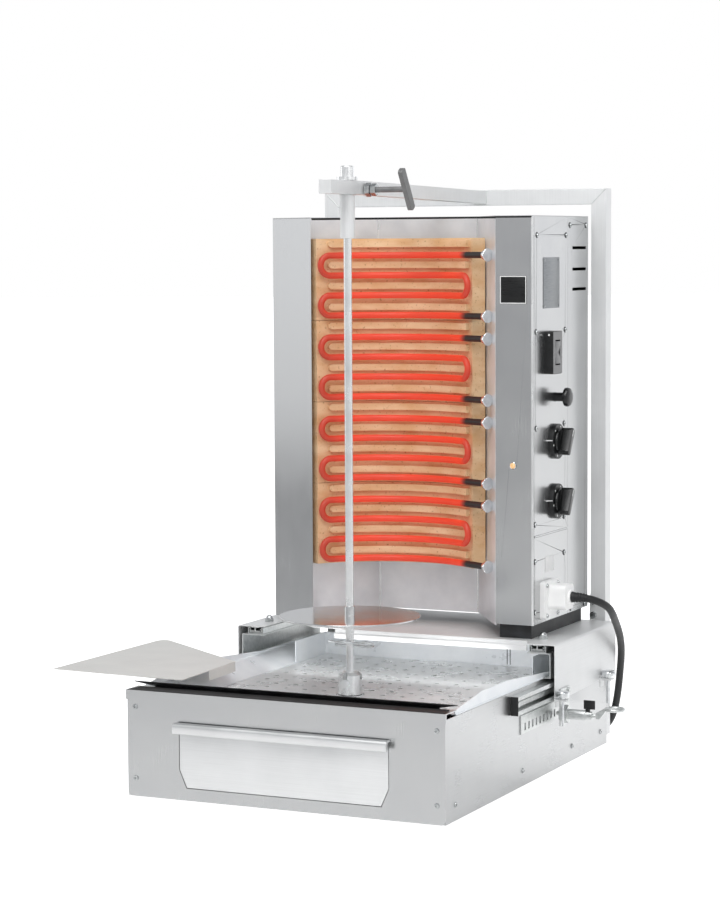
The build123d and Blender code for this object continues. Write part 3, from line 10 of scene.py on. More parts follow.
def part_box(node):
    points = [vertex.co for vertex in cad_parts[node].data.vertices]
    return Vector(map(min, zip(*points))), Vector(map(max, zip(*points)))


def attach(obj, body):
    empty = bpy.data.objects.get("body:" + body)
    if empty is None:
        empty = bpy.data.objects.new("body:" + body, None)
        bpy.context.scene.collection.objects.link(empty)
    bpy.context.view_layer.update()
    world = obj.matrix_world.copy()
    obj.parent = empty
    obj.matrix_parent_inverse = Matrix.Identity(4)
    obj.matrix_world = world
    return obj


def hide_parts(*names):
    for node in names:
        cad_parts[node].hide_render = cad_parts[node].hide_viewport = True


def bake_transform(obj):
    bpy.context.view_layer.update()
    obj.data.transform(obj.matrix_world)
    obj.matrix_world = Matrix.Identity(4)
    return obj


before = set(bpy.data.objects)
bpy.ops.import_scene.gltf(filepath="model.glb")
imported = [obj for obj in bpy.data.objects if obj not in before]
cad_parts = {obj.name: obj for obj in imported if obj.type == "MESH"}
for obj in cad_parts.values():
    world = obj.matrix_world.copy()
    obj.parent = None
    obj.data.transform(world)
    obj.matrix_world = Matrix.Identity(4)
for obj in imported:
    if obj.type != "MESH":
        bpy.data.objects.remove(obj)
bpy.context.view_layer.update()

bl_info = {
    "name": "Electric kebab grill",
    "version": (1, 0, 0),
    "blender": (4, 5, 0),
    "location": "3D View > Sidebar > Kebab grill",
    "description": "Finishes, fine pieces and stage of an upright electric kebab grill",
    "category": "Object",
}

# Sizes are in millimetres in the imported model's frame. Blender works in metres.
MM = 0.001
RIGHT = (1, 0, 0)
FRONT = (0, -1, 0)
UP = (0, 0, 1)


def corner(node, which, axis):
    """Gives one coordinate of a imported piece's box in millimetres: which is 0 for low and 1 for high."""
    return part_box(node)[which][axis] / MM


PANEL_X = corner("control_panel", 1, 0) - 2
HEAD_FRONT = corner("control_box", 0, 1)
HEAD_TOP = corner("top_cover", 0, 2)
BOX_LEFT = corner("control_box", 0, 0)
BOX_BOTTOM = corner("control_box", 0, 2)
RECESS_BOTTOM = corner("back_wall", 0, 2)
BASE_FRONT = corner("base_shell", 0, 1)
POST_BACK = corner("mast_frame", 1, 1)
MAST_TOP = corner("mast_frame", 1, 2)
PLATE_Z = corner("perforated_plate", 0, 2)
RIM_TOP = corner("front_panel", 1, 2)
SPIT_Y = -102

# Controls on the head's right side
DIAL_Y = 173
DIAL_THICK = 6.5
KNOB_LEAN = 30
UPPER_KNOB_Z = 494
LOWER_KNOB_Z = 402
PUSH_Z = 562
SWITCH_Y = 149.5
SWITCH_Z = 631

# Heating tubes on an arc about an upright line at ARC_X
ARC_X = -5
TUBE_ARC = 152
BRICK_TOP = 805
BRICK_HEIGHT = 127
BRICK_COUNT = 4
ROW_FIRST = 26
ROW_STEP = 31
TURN_LEFT = 141.8
TURN_RIGHT = 52.2
LEAD_FROM = 62
LEAD_LENGTH = 87
LEAD_WAY = Vector((sin(radians(LEAD_FROM)), -cos(radians(LEAD_FROM)), 0))
LEAD_STEPS = 16
# Share of a lead's length that is drawn, so that it ends inside its fitting, and the fitting's place on it
LEAD_DRAWN = 0.93
FITTING_AT = LEAD_LENGTH - 11
# Shares of a lead's drawn length between which it turns cold
WARM_UNTIL = 0.28
COLD_FROM = 0.43
# Radius and height of a lead's fitting: its neck, its nut, a groove and its flange
FITTING = (
    (0, -1.5), (5.9, -1.5), (7.4, -0.4), (7.6, 0.4), (7.6, 4), (6.6, 4.4), (6.6, 5.4), (9.6, 5.8), (10, 6.4),
    (10, 8), (9.4, 8.6), (6, 9.2), (0, 9.6),
)

# Pilot lamp and sign plates: each plate as its low and its high corner
LAMP_X = 187
LAMP_Z = 462.5
FRONT_SIGN = ((166, 706), (209, 748))
SIDE_SIGN = ((122, 698), (190, 775))
LOWER_SIDE_SIGN = ((131, 296), (168, 320))

# Screws on the head's right side, each as its Y and Z
SIDE_SCREWS = (
    (97, 808.5), (219.5, 808.5), (93, 663.5), (216, 663.5), (93, 518.5), (212, 519), (89, 373.5),
    (212, 374.5), (89, 317), (212, 318.5), (89, 240), (212, 233), (237, 824), (308, 824),
    (241.5, 227.5), (302, 227.5),
)

# Mains cable, from the inlet down behind the base to its coil
CABLE_ROUTE = [
    (260, 138, 260),
    (274, 138, 260),
    (289, 143, 257.5),
    (301, 154, 251.5),
    (307, 171, 242.5),
    (305, 195, 229.5),
    (298, 226, 214),
    (290, 262, 197),
    (282, 298, 174),
    (272, 330, 146),
    (262, 351, 111),
    (254, 363, 73),
    (245, 371, 42),
    (231, 379, 20),
    (209, 382, 8.5),
    (180, 381, 6.4),
    (150.5, 378, 6.3),
    (121.5, 378, 6.3),
]
COIL_X = 110
COIL_Y = 450
COIL_RADIUS = 72
COIL_PITCH = 12.4
COIL_TURNS = 3
COIL_Z = 6.3
POINTS_A_TURN = 16
PLUG_LEAD = 66


# Finishes


def linear(code):
    """Turns an sRGB hex colour into Blender's linear red, green, blue and alpha."""
    parts = [int(code[i:i + 2], 16) / 255 for i in (1, 3, 5)]
    return [c / 12.92 if c <= 0.04045 else ((c + 0.055) / 1.055) ** 2.4 for c in parts] + [1.0]


def new_finish(name):
    """Makes an empty material and gives it, its node tree and its shader."""
    material = bpy.data.materials.new(name)
    material.use_nodes = True
    tree = material.node_tree
    return material, tree, tree.nodes["Principled BSDF"]


def add(tree, kind, inputs=(), **settings):
    """Adds one node with its settings. Its inputs, in order or by name, are values or links from sockets."""
    node = tree.nodes.new(kind)
    for key, value in settings.items():
        setattr(node, key, value)
    pairs = inputs.items() if isinstance(inputs, dict) else enumerate(inputs)
    for key, value in pairs:
        if isinstance(value, bpy.types.NodeSocket):
            tree.links.new(value, node.inputs[key])
        else:
            node.inputs[key].default_value = value
    return node


def pattern(tree, size, detail=3, rough=0.5, w=0.0):
    """Adds a noise whose features measure so many millimetres along X, Y and Z."""
    place = add(tree, "ShaderNodeTexCoord").outputs["Object"]
    scale = [1 / (MM * s) for s in size]
    stretched = add(tree, "ShaderNodeMapping", {"Vector": place, "Scale": scale, "Location": (w, w, w)})
    noise = add(
        tree, "ShaderNodeTexNoise",
        {"Vector": stretched.outputs["Vector"], "Scale": 1.0, "Detail": detail, "Roughness": rough},
    )
    return noise.outputs["Fac"]


def coat(tree, shader, noise, dark, light, smooth, rough, tone_span=(0.3, 0.7), rough_span=(0.3, 0.7)):
    """Lets a noise run the base colour between two hex colours and the roughness between two values."""
    # A Map Range node takes the value, the range that it comes from and the range that it goes to.
    share = add(tree, "ShaderNodeMapRange", [noise, *tone_span]).outputs[0]
    colours = {"Factor": share, 6: linear(dark), 7: linear(light)}
    colour = add(tree, "ShaderNodeMix", colours, data_type="RGBA").outputs[2]
    tree.links.new(colour, shader.inputs["Base Color"])
    roughness = add(tree, "ShaderNodeMapRange", [noise, *rough_span, smooth, rough]).outputs[0]
    tree.links.new(roughness, shader.inputs["Roughness"])


def bumps(tree, shader, layers):
    """Stacks bumps on a shader, each given as a height, its strength and its depth in millimetres."""
    normal = None
    for height, strength, depth in layers:
        inputs = {"Height": height, "Strength": strength, "Distance": depth * MM}
        if normal:
            inputs["Normal"] = normal
        normal = add(tree, "ShaderNodeBump", inputs).outputs["Normal"]
    tree.links.new(normal, shader.inputs["Normal"])


def sheet_steel(
    name, grain, light="#CDCECE", dark="#C6C7C8", smooth=0.26, rough=0.34, wave=0.08, metallic=1.0,
):
    """Stainless sheet, brushed along one axis: fine streaks, soft blotches and a slight oil canning."""
    material, tree, shader = new_finish(name)
    # Brushing lines are 0.1 mm apart on the real sheet and 0.8 mm here, so that they show in the render.
    size = [0.8, 0.8, 0.8]
    size["XYZ".find(grain)] = 90
    streaks = pattern(tree, size, detail=4, rough=0.6)
    blotches = pattern(tree, (60, 60, 60), detail=3, w=3.0)
    sag = pattern(tree, (220, 220, 220), detail=0, w=7.0)
    tone = add(tree, "ShaderNodeMath", [streaks, blotches], operation="ADD").outputs[0]
    coat(tree, shader, tone, dark, light, smooth, rough, (0.75, 1.3), (0.7, 1.35))
    shader.inputs["Metallic"].default_value = metallic
    bumps(tree, shader, [(sag, wave, 6), (streaks, 0.02, 0.1)])
    return material


def bright_steel(name, light="#DADBDB", dark="#CFD0D1", smooth=0.1, rough=0.18, wave=0.14, metallic=1.0):
    """Bright annealed stainless: nearly a mirror, with cloudy wipe marks and a slightly wavy face."""
    material, tree, shader = new_finish(name)
    clouds = pattern(tree, (35, 35, 35), detail=5, w=2.0)
    specks = pattern(tree, (1.6, 1.6, 1.6), detail=2, w=5.0)
    sag = pattern(tree, (120, 120, 120), detail=1, w=11.0)
    coat(tree, shader, clouds, dark, light, smooth, rough)
    shader.inputs["Metallic"].default_value = metallic
    bumps(tree, shader, [(sag, wave, 6), (specks, 0.01, 0.1)])
    return material


def tray_steel(name):
    """Bright annealed tray: pale and bluish where it is wiped, and darkened under the plate by painted shade.
    """
    material = bright_steel(name, "#F8FBFD", "#ECF0F4", 0.26, 0.4, 0.1, 0.2)
    tree = material.node_tree
    shader = tree.nodes["Principled BSDF"]
    wiped = shader.inputs["Base Color"].links[0].from_socket
    place = add(tree, "ShaderNodeTexCoord").outputs["Object"]
    height = add(tree, "ShaderNodeSeparateXYZ", {"Vector": place}).outputs["Z"]
    # Under the perforated plate the colour runs to near black: painted shade under the plate.
    plate_shade_mask = add(tree, "ShaderNodeMapRange", [height, (PLATE_Z - 3) * MM, PLATE_Z * MM, 1, 0]).outputs[0]
    colours = {"Factor": plate_shade_mask, 6: wiped, 7: linear("#34322F")}
    shaded_under_plate = add(tree, "ShaderNodeMix", colours, data_type="RGBA").outputs[2]
    tree.links.new(shaded_under_plate, shader.inputs["Base Color"])
    return material


def plated_steel(name, light="#DEE0DF", dark="#CBCECD", smooth=0.28, rough=0.4):
    """Zinc plated steel: a cloudy spangle a few millimetres across."""
    material, tree, shader = new_finish(name)
    spangle = pattern(tree, (5, 5, 5), detail=3)
    pits = pattern(tree, (0.9, 0.9, 0.9), detail=2, w=4.0)
    coat(tree, shader, spangle, dark, light, smooth, rough)
    shader.inputs["Metallic"].default_value = 1.0
    bumps(tree, shader, [(pits, 0.12, 0.2)])
    return material


def chromed_steel(name):
    """Polished chrome plating: a clean mirror with faint swirls."""
    material, tree, shader = new_finish(name)
    swirls = pattern(tree, (9, 9, 9), detail=4)
    coat(tree, shader, swirls, "#D5D8DA", "#EEF0F1", 0.04, 0.14)
    shader.inputs["Metallic"].default_value = 1.0
    bumps(tree, shader, [(swirls, 0.03, 0.3)])
    return material


def painted_steel(name, colour, worn, rough=0.4):
    """Enamelled sheet: smooth, slightly orange peeled, with paler rubbed places."""
    material, tree, shader = new_finish(name)
    peel = pattern(tree, (2.2, 2.2, 2.2), detail=2)
    rubbed = pattern(tree, (30, 30, 30), detail=5, w=2.0)
    coat(tree, shader, rubbed, colour, worn, rough - 0.08, rough + 0.14, (0.45, 0.8))
    bumps(tree, shader, [(peel, 0.15, 0.15)])
    return material


def cast_metal(name, light, dark, metallic=1.0):
    """Sand cast or sintered metal: a grainy skin of half millimetre pits."""
    material, tree, shader = new_finish(name)
    grit = pattern(tree, (0.7, 0.7, 0.7), detail=3)
    clouds = pattern(tree, (16, 16, 16), detail=3, w=3.0)
    coat(tree, shader, clouds, dark, light, 0.42, 0.6)
    shader.inputs["Metallic"].default_value = metallic
    bumps(tree, shader, [(grit, 0.3, 0.3)])
    return material


def fireclay(name):
    """Pressed and fired clay bricks: matt and sandy, scorched in clouds, with a few brown specks."""
    material, tree, shader = new_finish(name)
    sand = pattern(tree, (1.1, 1.1, 1.1), detail=4, rough=0.7)
    scorch = pattern(tree, (42, 42, 17), detail=4, w=6.0)
    specks = pattern(tree, (3.5, 3.5, 3.5), detail=2, w=9.0)
    cloud = add(tree, "ShaderNodeMapRange", [scorch, 0.3, 0.7]).outputs[0]
    clays = {"Factor": cloud, 6: linear("#DDB080"), 7: linear("#F0CFA6")}
    body = add(tree, "ShaderNodeMix", clays, data_type="RGBA").outputs[2]
    share = add(tree, "ShaderNodeMapRange", [specks, 0.62, 0.75, 0, 0.7]).outputs[0]
    colours = {"Factor": share, 6: body, 7: linear("#A87A50")}
    dotted = add(tree, "ShaderNodeMix", colours, data_type="RGBA").outputs[2]
    tree.links.new(dotted, shader.inputs["Base Color"])
    roughness = add(tree, "ShaderNodeMapRange", [sand, 0.3, 0.7, 0.78, 0.95]).outputs[0]
    tree.links.new(roughness, shader.inputs["Roughness"])
    bumps(tree, shader, [(sand, 0.35, 0.35), (specks, 0.15, 0.5)])
    return material


def glowing_tube(name):
    """Oxidised heating tube: black where it is cold, glowing orange red elsewhere, duller in its bends. The
    warm skin's red base colour is painted glow.
    """
    material, tree, shader = new_finish(name)
    scale = pattern(tree, (2.5, 2.5, 2.5), detail=4)
    drift = pattern(tree, (60, 60, 24), detail=2, w=5.0)
    place = add(tree, "ShaderNodeTexCoord").outputs["Object"]
    axes = add(tree, "ShaderNodeSeparateXYZ", {"Vector": place}).outputs
    # The bends, left of X -96 mm and right of X 84 mm, glow darker than the rows.
    left = add(tree, "ShaderNodeMapRange", [axes["X"], -132 * MM, -96 * MM]).outputs[0]
    right = add(tree, "ShaderNodeMapRange", [axes["X"], 84 * MM, 95 * MM, 1.0, 0.45]).outputs[0]
    bend = add(tree, "ShaderNodeMath", [left, right], operation="MINIMUM").outputs[0]
    cold = add(tree, "ShaderNodeAttribute", attribute_name="cold", attribute_type="GEOMETRY").outputs["Fac"]
    uneven = add(tree, "ShaderNodeMapRange", [drift, 0.3, 0.7, -0.25, 0.15]).outputs[0]
    lively = add(tree, "ShaderNodeMath", [bend, uneven], operation="ADD", use_clamp=True).outputs[0]
    heat = add(tree, "ShaderNodeMath", [lively, cold], operation="SUBTRACT", use_clamp=True).outputs[0]
    glow = add(tree, "ShaderNodeValToRGB", [heat])
    glow.color_ramp.elements[0].color = linear("#842320")
    glow.color_ramp.elements[1].color = linear("#EE3A22")
    middle = glow.color_ramp.elements.new(0.45)
    middle.color = linear("#B92C24")
    warm = add(tree, "ShaderNodeMath", [1.0, cold], operation="SUBTRACT", use_clamp=True).outputs[0]
    strength = add(tree, "ShaderNodeMath", [warm, 0.5], operation="MULTIPLY").outputs[0]
    # The warm skin's red base colour paints the glow's light into the surface colour; the emission is the
    # glow itself.
    colours = {"Factor": cold, 6: linear("#B03A22"), 7: linear("#1C1B1B")}
    skin = add(tree, "ShaderNodeMix", colours, data_type="RGBA").outputs[2]
    roughness = add(tree, "ShaderNodeMapRange", [scale, 0.3, 0.7, 0.3, 0.5]).outputs[0]
    tree.links.new(skin, shader.inputs["Base Color"])
    tree.links.new(glow.outputs["Color"], shader.inputs["Emission Color"])
    tree.links.new(strength, shader.inputs["Emission Strength"])
    tree.links.new(roughness, shader.inputs["Roughness"])
    bumps(tree, shader, [(scale, 0.08, 0.3)])
    return material


def moulded_plastic(name, colour, paler, rough=0.38, grain=0.7):
    """Injection moulded plastic: an even colour under a fine spark eroded grain."""
    material, tree, shader = new_finish(name)
    pits = pattern(tree, (grain, grain, grain), detail=2)
    clouds = pattern(tree, (22, 22, 22), detail=3, w=8.0)
    coat(tree, shader, clouds, colour, paler, rough - 0.06, rough + 0.08)
    bumps(tree, shader, [(pits, 0.1, 0.12)])
    return material


def rubber_sheath(name, colour="#101112", paler="#1D1E20", rough=0.48):
    """Extruded chloroprene rubber: a soft sheen and a little dust in shallow dimples."""
    material, tree, shader = new_finish(name)
    dimples = pattern(tree, (1.8, 1.8, 1.8), detail=3)
    dust = pattern(tree, (26, 26, 26), detail=4, w=5.0)
    coat(tree, shader, dust, colour, paler, rough - 0.1, rough + 0.12)
    bumps(tree, shader, [(dimples, 0.12, 0.15)])
    return material


def lamp_lens(name):
    """Tinted polycarbonate lens: glossy, with a lit amber middle."""
    material, tree, shader = new_finish(name)
    swirl = pattern(tree, (2.5, 2.5, 2.5), detail=2)
    coat(tree, shader, swirl, "#E8B27A", "#F7D9A8", 0.08, 0.16)
    shader.inputs["Emission Color"].default_value = linear("#F2A860")
    shader.inputs["Emission Strength"].default_value = 0.25
    shader.inputs["IOR"].default_value = 1.58
    bumps(tree, shader, [(swirl, 0.05, 0.2)])
    return material


def anodised_plate(name, light, dark, rough=0.3, metallic=0.9):
    """Anodised aluminium sign plate without print: satin, with a fine rolled grain."""
    material, tree, shader = new_finish(name)
    grain = pattern(tree, (14, 14, 0.5), detail=3)
    coat(tree, shader, grain, dark, light, rough - 0.05, rough + 0.1)
    shader.inputs["Metallic"].default_value = metallic
    bumps(tree, shader, [(grain, 0.05, 0.1)])
    return material


# Each finish: the function that makes it and the values that it takes after the name
MAKERS = {
    "brushed_stainless_upright": (sheet_steel, "Z", "#CDCECE", "#C6C7C8", 0.2, 0.28),
    "brushed_stainless_drawer": (sheet_steel, "X", "#F2F3F3", "#E8E9E9", 0.3, 0.4),
    "brushed_stainless_across": (sheet_steel, "X"),
    "brushed_stainless_deep": (sheet_steel, "Y"),
    "brushed_stainless_bridge": (sheet_steel, "Y", "#E6E7E7", "#DCDDDD", 0.34, 0.44, 0.06, 0.35),
    "brushed_stainless_wing": (sheet_steel, "Z", "#B6B7B8", "#AEAFB0", 0.2, 0.28),
    "ground_stainless_tube": (sheet_steel, "Z", "#EAEBEB", "#E0E1E1", 0.4, 0.5, 0.05, 0.35),
    "bright_annealed_stainless": (bright_steel,),
    "bright_annealed_reflector": (bright_steel, "#EAEBED", "#DCDDE0", 0.3, 0.42, 0.12, 0.45),
    "bright_annealed_tray": (tray_steel,),
    "pierced_stainless_plate": (bright_steel, "#F0F1F1", "#E2E3E3", 0.24, 0.36, 0.1, 0.5),
    "polished_stainless_rod": (bright_steel, "#F4F5F5", "#EAEBEB", 0.2, 0.3, 0.02, 0.85),
    "satin_stainless_plate": (sheet_steel, "X", "#E9E8E4", "#DFDEDA", 0.42, 0.5, 0.06, 0.5),
    "cast_zinc_grip": (cast_metal, "#8C8C8C", "#747474", 0.7),
    "zinc_plated_steel": (plated_steel,),
    "plated_screw_steel": (plated_steel, "#DADCDC", "#A9ADAE", 0.12, 0.28),
    "chromed_steel": (chromed_steel,),
    "machined_gear_steel": (plated_steel, "#9A9C9E", "#7E8083", 0.25, 0.4),
    "sand_cast_aluminium": (cast_metal, "#B5B7B8", "#8B8E90"),
    "sintered_bronze": (cast_metal, "#B08D57", "#7E6138"),
    "black_enamelled_steel": (painted_steel, "#0B0B0C", "#1C1D1F", 0.34),
    "dark_enamelled_steel": (painted_steel, "#1A1B1D", "#34363A", 0.42),
    "motor_enamel": (painted_steel, "#24272B", "#3A3E43", 0.4),
    "fired_fireclay": (fireclay,),
    "glowing_heater_tube": (glowing_tube,),
    "moulded_black_polyamide": (moulded_plastic, "#0E0F10", "#1A1B1C", 0.36),
    "glossy_black_phenolic": (moulded_plastic, "#08090A", "#131415", 0.16, 2.5),
    "moulded_white_polyamide": (moulded_plastic, "#F4F4F3", "#FCFCFB", 0.42),
    "moulded_grey_polyamide": (moulded_plastic, "#6E6E6F", "#7C7C7D", 0.34),
    "white_print_ink": (moulded_plastic, "#E4E5E4", "#F5F5F4", 0.55),
    "chloroprene_rubber": (rubber_sheath,),
    "moulded_nitrile_rubber": (rubber_sheath, "#151515", "#242424", 0.62),
    "tinted_polycarbonate": (lamp_lens,),
    "black_anodised_aluminium": (anodised_plate, "#191A1B", "#0C0D0D", 0.3, 0.2),
    "silver_anodised_aluminium": (anodised_plate, "#9A9D9F", "#7E8184", 0.34),
    "white_sign_film": (moulded_plastic, "#DADBDA", "#E8E8E7", 0.5),
}
FINISHES = {}


def finish(name):
    """Gives a finish by its name, and makes it the first time."""
    if name not in FINISHES:
        maker, *values = MAKERS[name]
        FINISHES[name] = maker(name, *values)
    return FINISHES[name]


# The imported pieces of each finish, with the round on their sheared or machined edges in millimetres
PACKED = {
    "brushed_stainless_deep": {"base_shell": 0.5, "floor_plate": 0.3},
    "brushed_stainless_upright": {
        "front_panel": 0.5, "control_box": 0.4, "control_panel": 0.4, "connection_panel": 0.4,
        "rear_cover": 0.4,
    },
    "moulded_nitrile_rubber": {"feet": 0.4, "mains_plug": 0.5},
    "plated_screw_steel": {"panel_screws": 0.2, "mast_fasteners": 0.4, "head_fasteners": 0.2},
    "zinc_plated_steel": {
        "fixed_rails": 0.3, "index_rack": 0.3, "motor_bracket": 0.3, "slide_middles": 0.3,
        "slide_inners": 0.3, "plunger_housing": 0.4, "index_plunger": 0.3,
    },
    "sand_cast_aluminium": {"gearbox_housing": 0.8},
    "motor_enamel": {"motor": 0.6},
    "sintered_bronze": {"hub_bearing": 0.3},
    "ground_stainless_tube": {"mast_frame": 1.8, "mast_arm": 1.2},
    "chloroprene_rubber": {"mains_cable": 0, "cable_coil": 0},
    "bright_annealed_tray": {"grease_tray": 0.4},
    # The tray's stainless sloping lip is given black enamel: painted shade and dark reflection on the lip.
    "black_enamelled_steel": {"tray_lip": 0.3},
    "pierced_stainless_plate": {"perforated_plate": 0.2},
    "satin_stainless_plate": {"side_plate": 0.3},
    "brushed_stainless_across": {"drawer_box": 0.4, "drawer_front": 0.5, "top_cover": 0.4},
    "brushed_stainless_bridge": {"bridge": 0.5},
    "dark_enamelled_steel": {"head_platform": 0.5},
    "bright_annealed_reflector": {"back_wall": 0.4},
    "brushed_stainless_wing": {"left_wing": 0.4},
    "fired_fireclay": {"bricks": 0.8},
    "glowing_heater_tube": {"heating_elements": 0},
    "chromed_steel": {"terminals": 0.5, "lock_pin_front": 0.4, "lock_pin_rear": 0.4, "spit_clip": 0},
    "black_anodised_aluminium": {"plates": 0.2},
    "tinted_polycarbonate": {"pilot_lamp": 0.3},
    "moulded_black_polyamide": {"switch_housing": 0.5, "dials": 0.4, "regulators": 0.5},
    "moulded_white_polyamide": {"inlet_connector": 0.6},
    "glossy_black_phenolic": {"knob_upper": 0.5, "knob_lower": 0.5, "push_knob": 0.5, "rocker": 0.5},
    "polished_stainless_rod": {"upper_pin": 0.4, "spit_rod": 0.3, "drive_hub": 0.4},
    "cast_zinc_grip": {"t_handle": 0.6},
    "bright_annealed_stainless": {"meat_disc": 0.3},
    "machined_gear_steel": {"gear_wheel": 0.2, "gear_pinion": 0.2},
}


# Sheets with many small holes keep their flat shading, because long faces run between the holes
HOLED = {"base_shell", "front_panel", "control_panel", "connection_panel", "rear_cover", "perforated_plate"}


def soften(node, name, width):
    """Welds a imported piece's seams on screen and rounds its sharp edges by a width in millimetres."""
    if width:
        weld = node.modifiers.new("seams", "WELD")
        weld.merge_threshold = 0.01 * MM
        rounding = node.modifiers.new("edges", "BEVEL")
        rounding.width = width * MM
        rounding.segments = 2
        rounding.limit_method = "ANGLE"
        rounding.angle_limit = radians(35)
        rounding.use_clamp_overlap = True
        if name not in HOLED:
            even = node.modifiers.new("shading", "WEIGHTED_NORMAL")
            even.keep_sharp = False
            even.weight = 80


# Shapes: each adds to a mesh that is drawn in millimetres


def round_edges(mesh, edges, width, segments):
    """Rounds edges by a width."""
    bmesh.ops.bevel(
        mesh, geom=list(edges), offset=width, segments=segments, profile=0.5, affect="EDGES",
        clamp_overlap=True,
    )


def block(mesh, low, high, round_by=0.0, segments=2):
    """Adds a box between two corners, with rounded edges."""
    low, high = Vector(low), Vector(high)
    size = high - low
    place = Matrix.Translation((low + high) / 2) @ Matrix.Diagonal([*size, 1.0])
    made = bmesh.ops.create_cube(mesh, size=1.0, matrix=place)
    if round_by:
        edges = {edge for vert in made["verts"] for edge in vert.link_edges}
        round_edges(mesh, edges, round_by, segments)


def facing(axis):
    """Gives the turn that takes +Z to an axis."""
    return Vector(axis).to_track_quat("Z", "Y").to_matrix().to_4x4()


def lathe(mesh, profile, origin, axis, steps):
    """Turns a profile of radius and height about an axis. A radius of nought closes an end."""
    place = Matrix.Translation(origin) @ facing(axis)
    circle = [(cos(2 * pi * i / steps), sin(2 * pi * i / steps)) for i in range(steps)]
    rings = []
    for radius, height in profile:
        if radius == 0:
            rings.append([mesh.verts.new(place @ Vector((0, 0, height)))])
        else:
            spots = [place @ Vector((radius * x, radius * y, height)) for x, y in circle]
            rings.append([mesh.verts.new(spot) for spot in spots])
    for first, second in zip(rings, rings[1:]):
        for i in range(steps):
            j = (i + 1) % steps
            if len(first) == 1 and len(second) > 1:
                mesh.faces.new((first[0], second[j], second[i]))
            elif len(second) == 1 and len(first) > 1:
                mesh.faces.new((first[i], first[j], second[0]))
            elif len(first) > 1:
                mesh.faces.new((first[i], first[j], second[j], second[i]))


def tube(mesh, path, radius, sides, closed=False):
    """Sweeps a round section along points and gives its rings. The radius is one value or a list."""
    count = len(path)
    radii = radius if isinstance(radius, (list, tuple)) else [radius] * count
    points = [Vector(p) for p in path]
    tangents = []
    for i in range(count):
        before = points[i - 1] if closed or i else points[0]
        after = points[(i + 1) % count] if closed or i < count - 1 else points[-1]
        tangents.append((after - before).normalized())
    side = tangents[0].orthogonal().normalized()
    rings = []
    for i in range(count):
        side = (side - tangents[i] * side.dot(tangents[i])).normalized()
        other = tangents[i].cross(side)
        rings.append([
            mesh.verts.new(
                points[i] + (side * cos(2 * pi * k / sides) + other * sin(2 * pi * k / sides)) * radii[i]
            )
            for k in range(sides)
        ])
    followers = rings[1:] + rings[:1] if closed else rings[1:]
    for first, second in zip(rings, followers):
        for k in range(sides):
            j = (k + 1) % sides
            mesh.faces.new((first[k], first[j], second[j], second[k]))
    if not closed:
        mesh.faces.new(list(reversed(rings[0])))
        mesh.faces.new(rings[-1])
    return rings


def slab(mesh, outline, origin, across, up, depth, round_by=0.0):
    """Extrudes an outline, drawn along two directions, by a depth along their cross product."""
    across, up, origin = Vector(across), Vector(up), Vector(origin)
    normal = across.cross(up).normalized()
    front = [mesh.verts.new(origin + across * x + up * y) for x, y in outline]
    back = [mesh.verts.new(origin + across * x + up * y + normal * depth) for x, y in outline]
    count = len(outline)
    faces = [mesh.faces.new(list(reversed(front))), mesh.faces.new(back)]
    for i in range(count):
        j = (i + 1) % count
        faces.append(mesh.faces.new((front[i], front[j], back[j], back[i])))
    bmesh.ops.recalc_face_normals(mesh, faces=faces)
    if round_by:
        edges = {edge for vert in front + back for edge in vert.link_edges}
        round_edges(mesh, edges, round_by, 2)


def rounded(width, height, radius, steps=6):
    """Gives the outline of a rectangle about the origin, with its corners rounded."""
    outline = []
    for quarter, (x, y) in enumerate(((1, 1), (-1, 1), (-1, -1), (1, -1))):
        centre = (x * (width / 2 - radius), y * (height / 2 - radius))
        for step in range(steps + 1):
            angle = pi / 2 * (quarter + step / steps)
            outline.append((centre[0] + radius * cos(angle), centre[1] + radius * sin(angle)))
    return outline


def weld_bead(mesh, start, end, width):
    """Adds a weld bead between two points: a tube whose thickness ripples once in 1.6 mm."""
    start, end = Vector(start), Vector(end)
    steps = max(int((end - start).length / 1.6 * 3), 6)
    path = [start.lerp(end, i / steps) for i in range(steps + 1)]
    radii = [width / 2 * (0.86 + 0.14 * cos(2 * pi * i / 3)) for i in range(steps + 1)]
    tube(mesh, path, radii, 10)


def piece(name, mesh, material, body, stands_for=()):
    """Turns a mesh in millimetres into a named piece that rides on a body."""
    bmesh.ops.remove_doubles(mesh, verts=mesh.verts, dist=0.0005)
    bmesh.ops.recalc_face_normals(mesh, faces=mesh.faces)
    bmesh.ops.scale(mesh, vec=(MM, MM, MM), verts=mesh.verts)
    data = bpy.data.meshes.new(name)
    mesh.to_mesh(data)
    mesh.free()
    data.polygons.foreach_set("use_smooth", [True] * len(data.polygons))
    data.set_sharp_from_angle(angle=radians(32))
    data.materials.append(finish(material))
    made = bpy.data.objects.new(name, data)
    bpy.context.scene.collection.objects.link(made)
    if body:
        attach(made, body)
    for node in stands_for:
        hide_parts(node)
    return made


def turn_point(turns):
    """Gives a point of the wound coil after a number of turns, and the direction of the cable there."""
    half = COIL_TURNS / 2
    inward = turns if turns < half else COIL_TURNS - turns
    radius = COIL_RADIUS - COIL_PITCH * inward
    slope = 0 if turns == half else COIL_PITCH / (2 * pi) * (-1 if turns < half else 1)
    share = min(max((turns - half + 0.25) / 0.5, 0), 1)
    climb = COIL_PITCH * share * share * (3 - 2 * share)
    angle = -pi / 2 - 2 * pi * turns
    place = Vector((COIL_X + radius * cos(angle), COIL_Y + radius * sin(angle), COIL_Z + climb))
    heading = Vector((radius * sin(angle) + slope * cos(angle), -radius * cos(angle) + slope * sin(angle), 0))
    return place, heading.normalized()


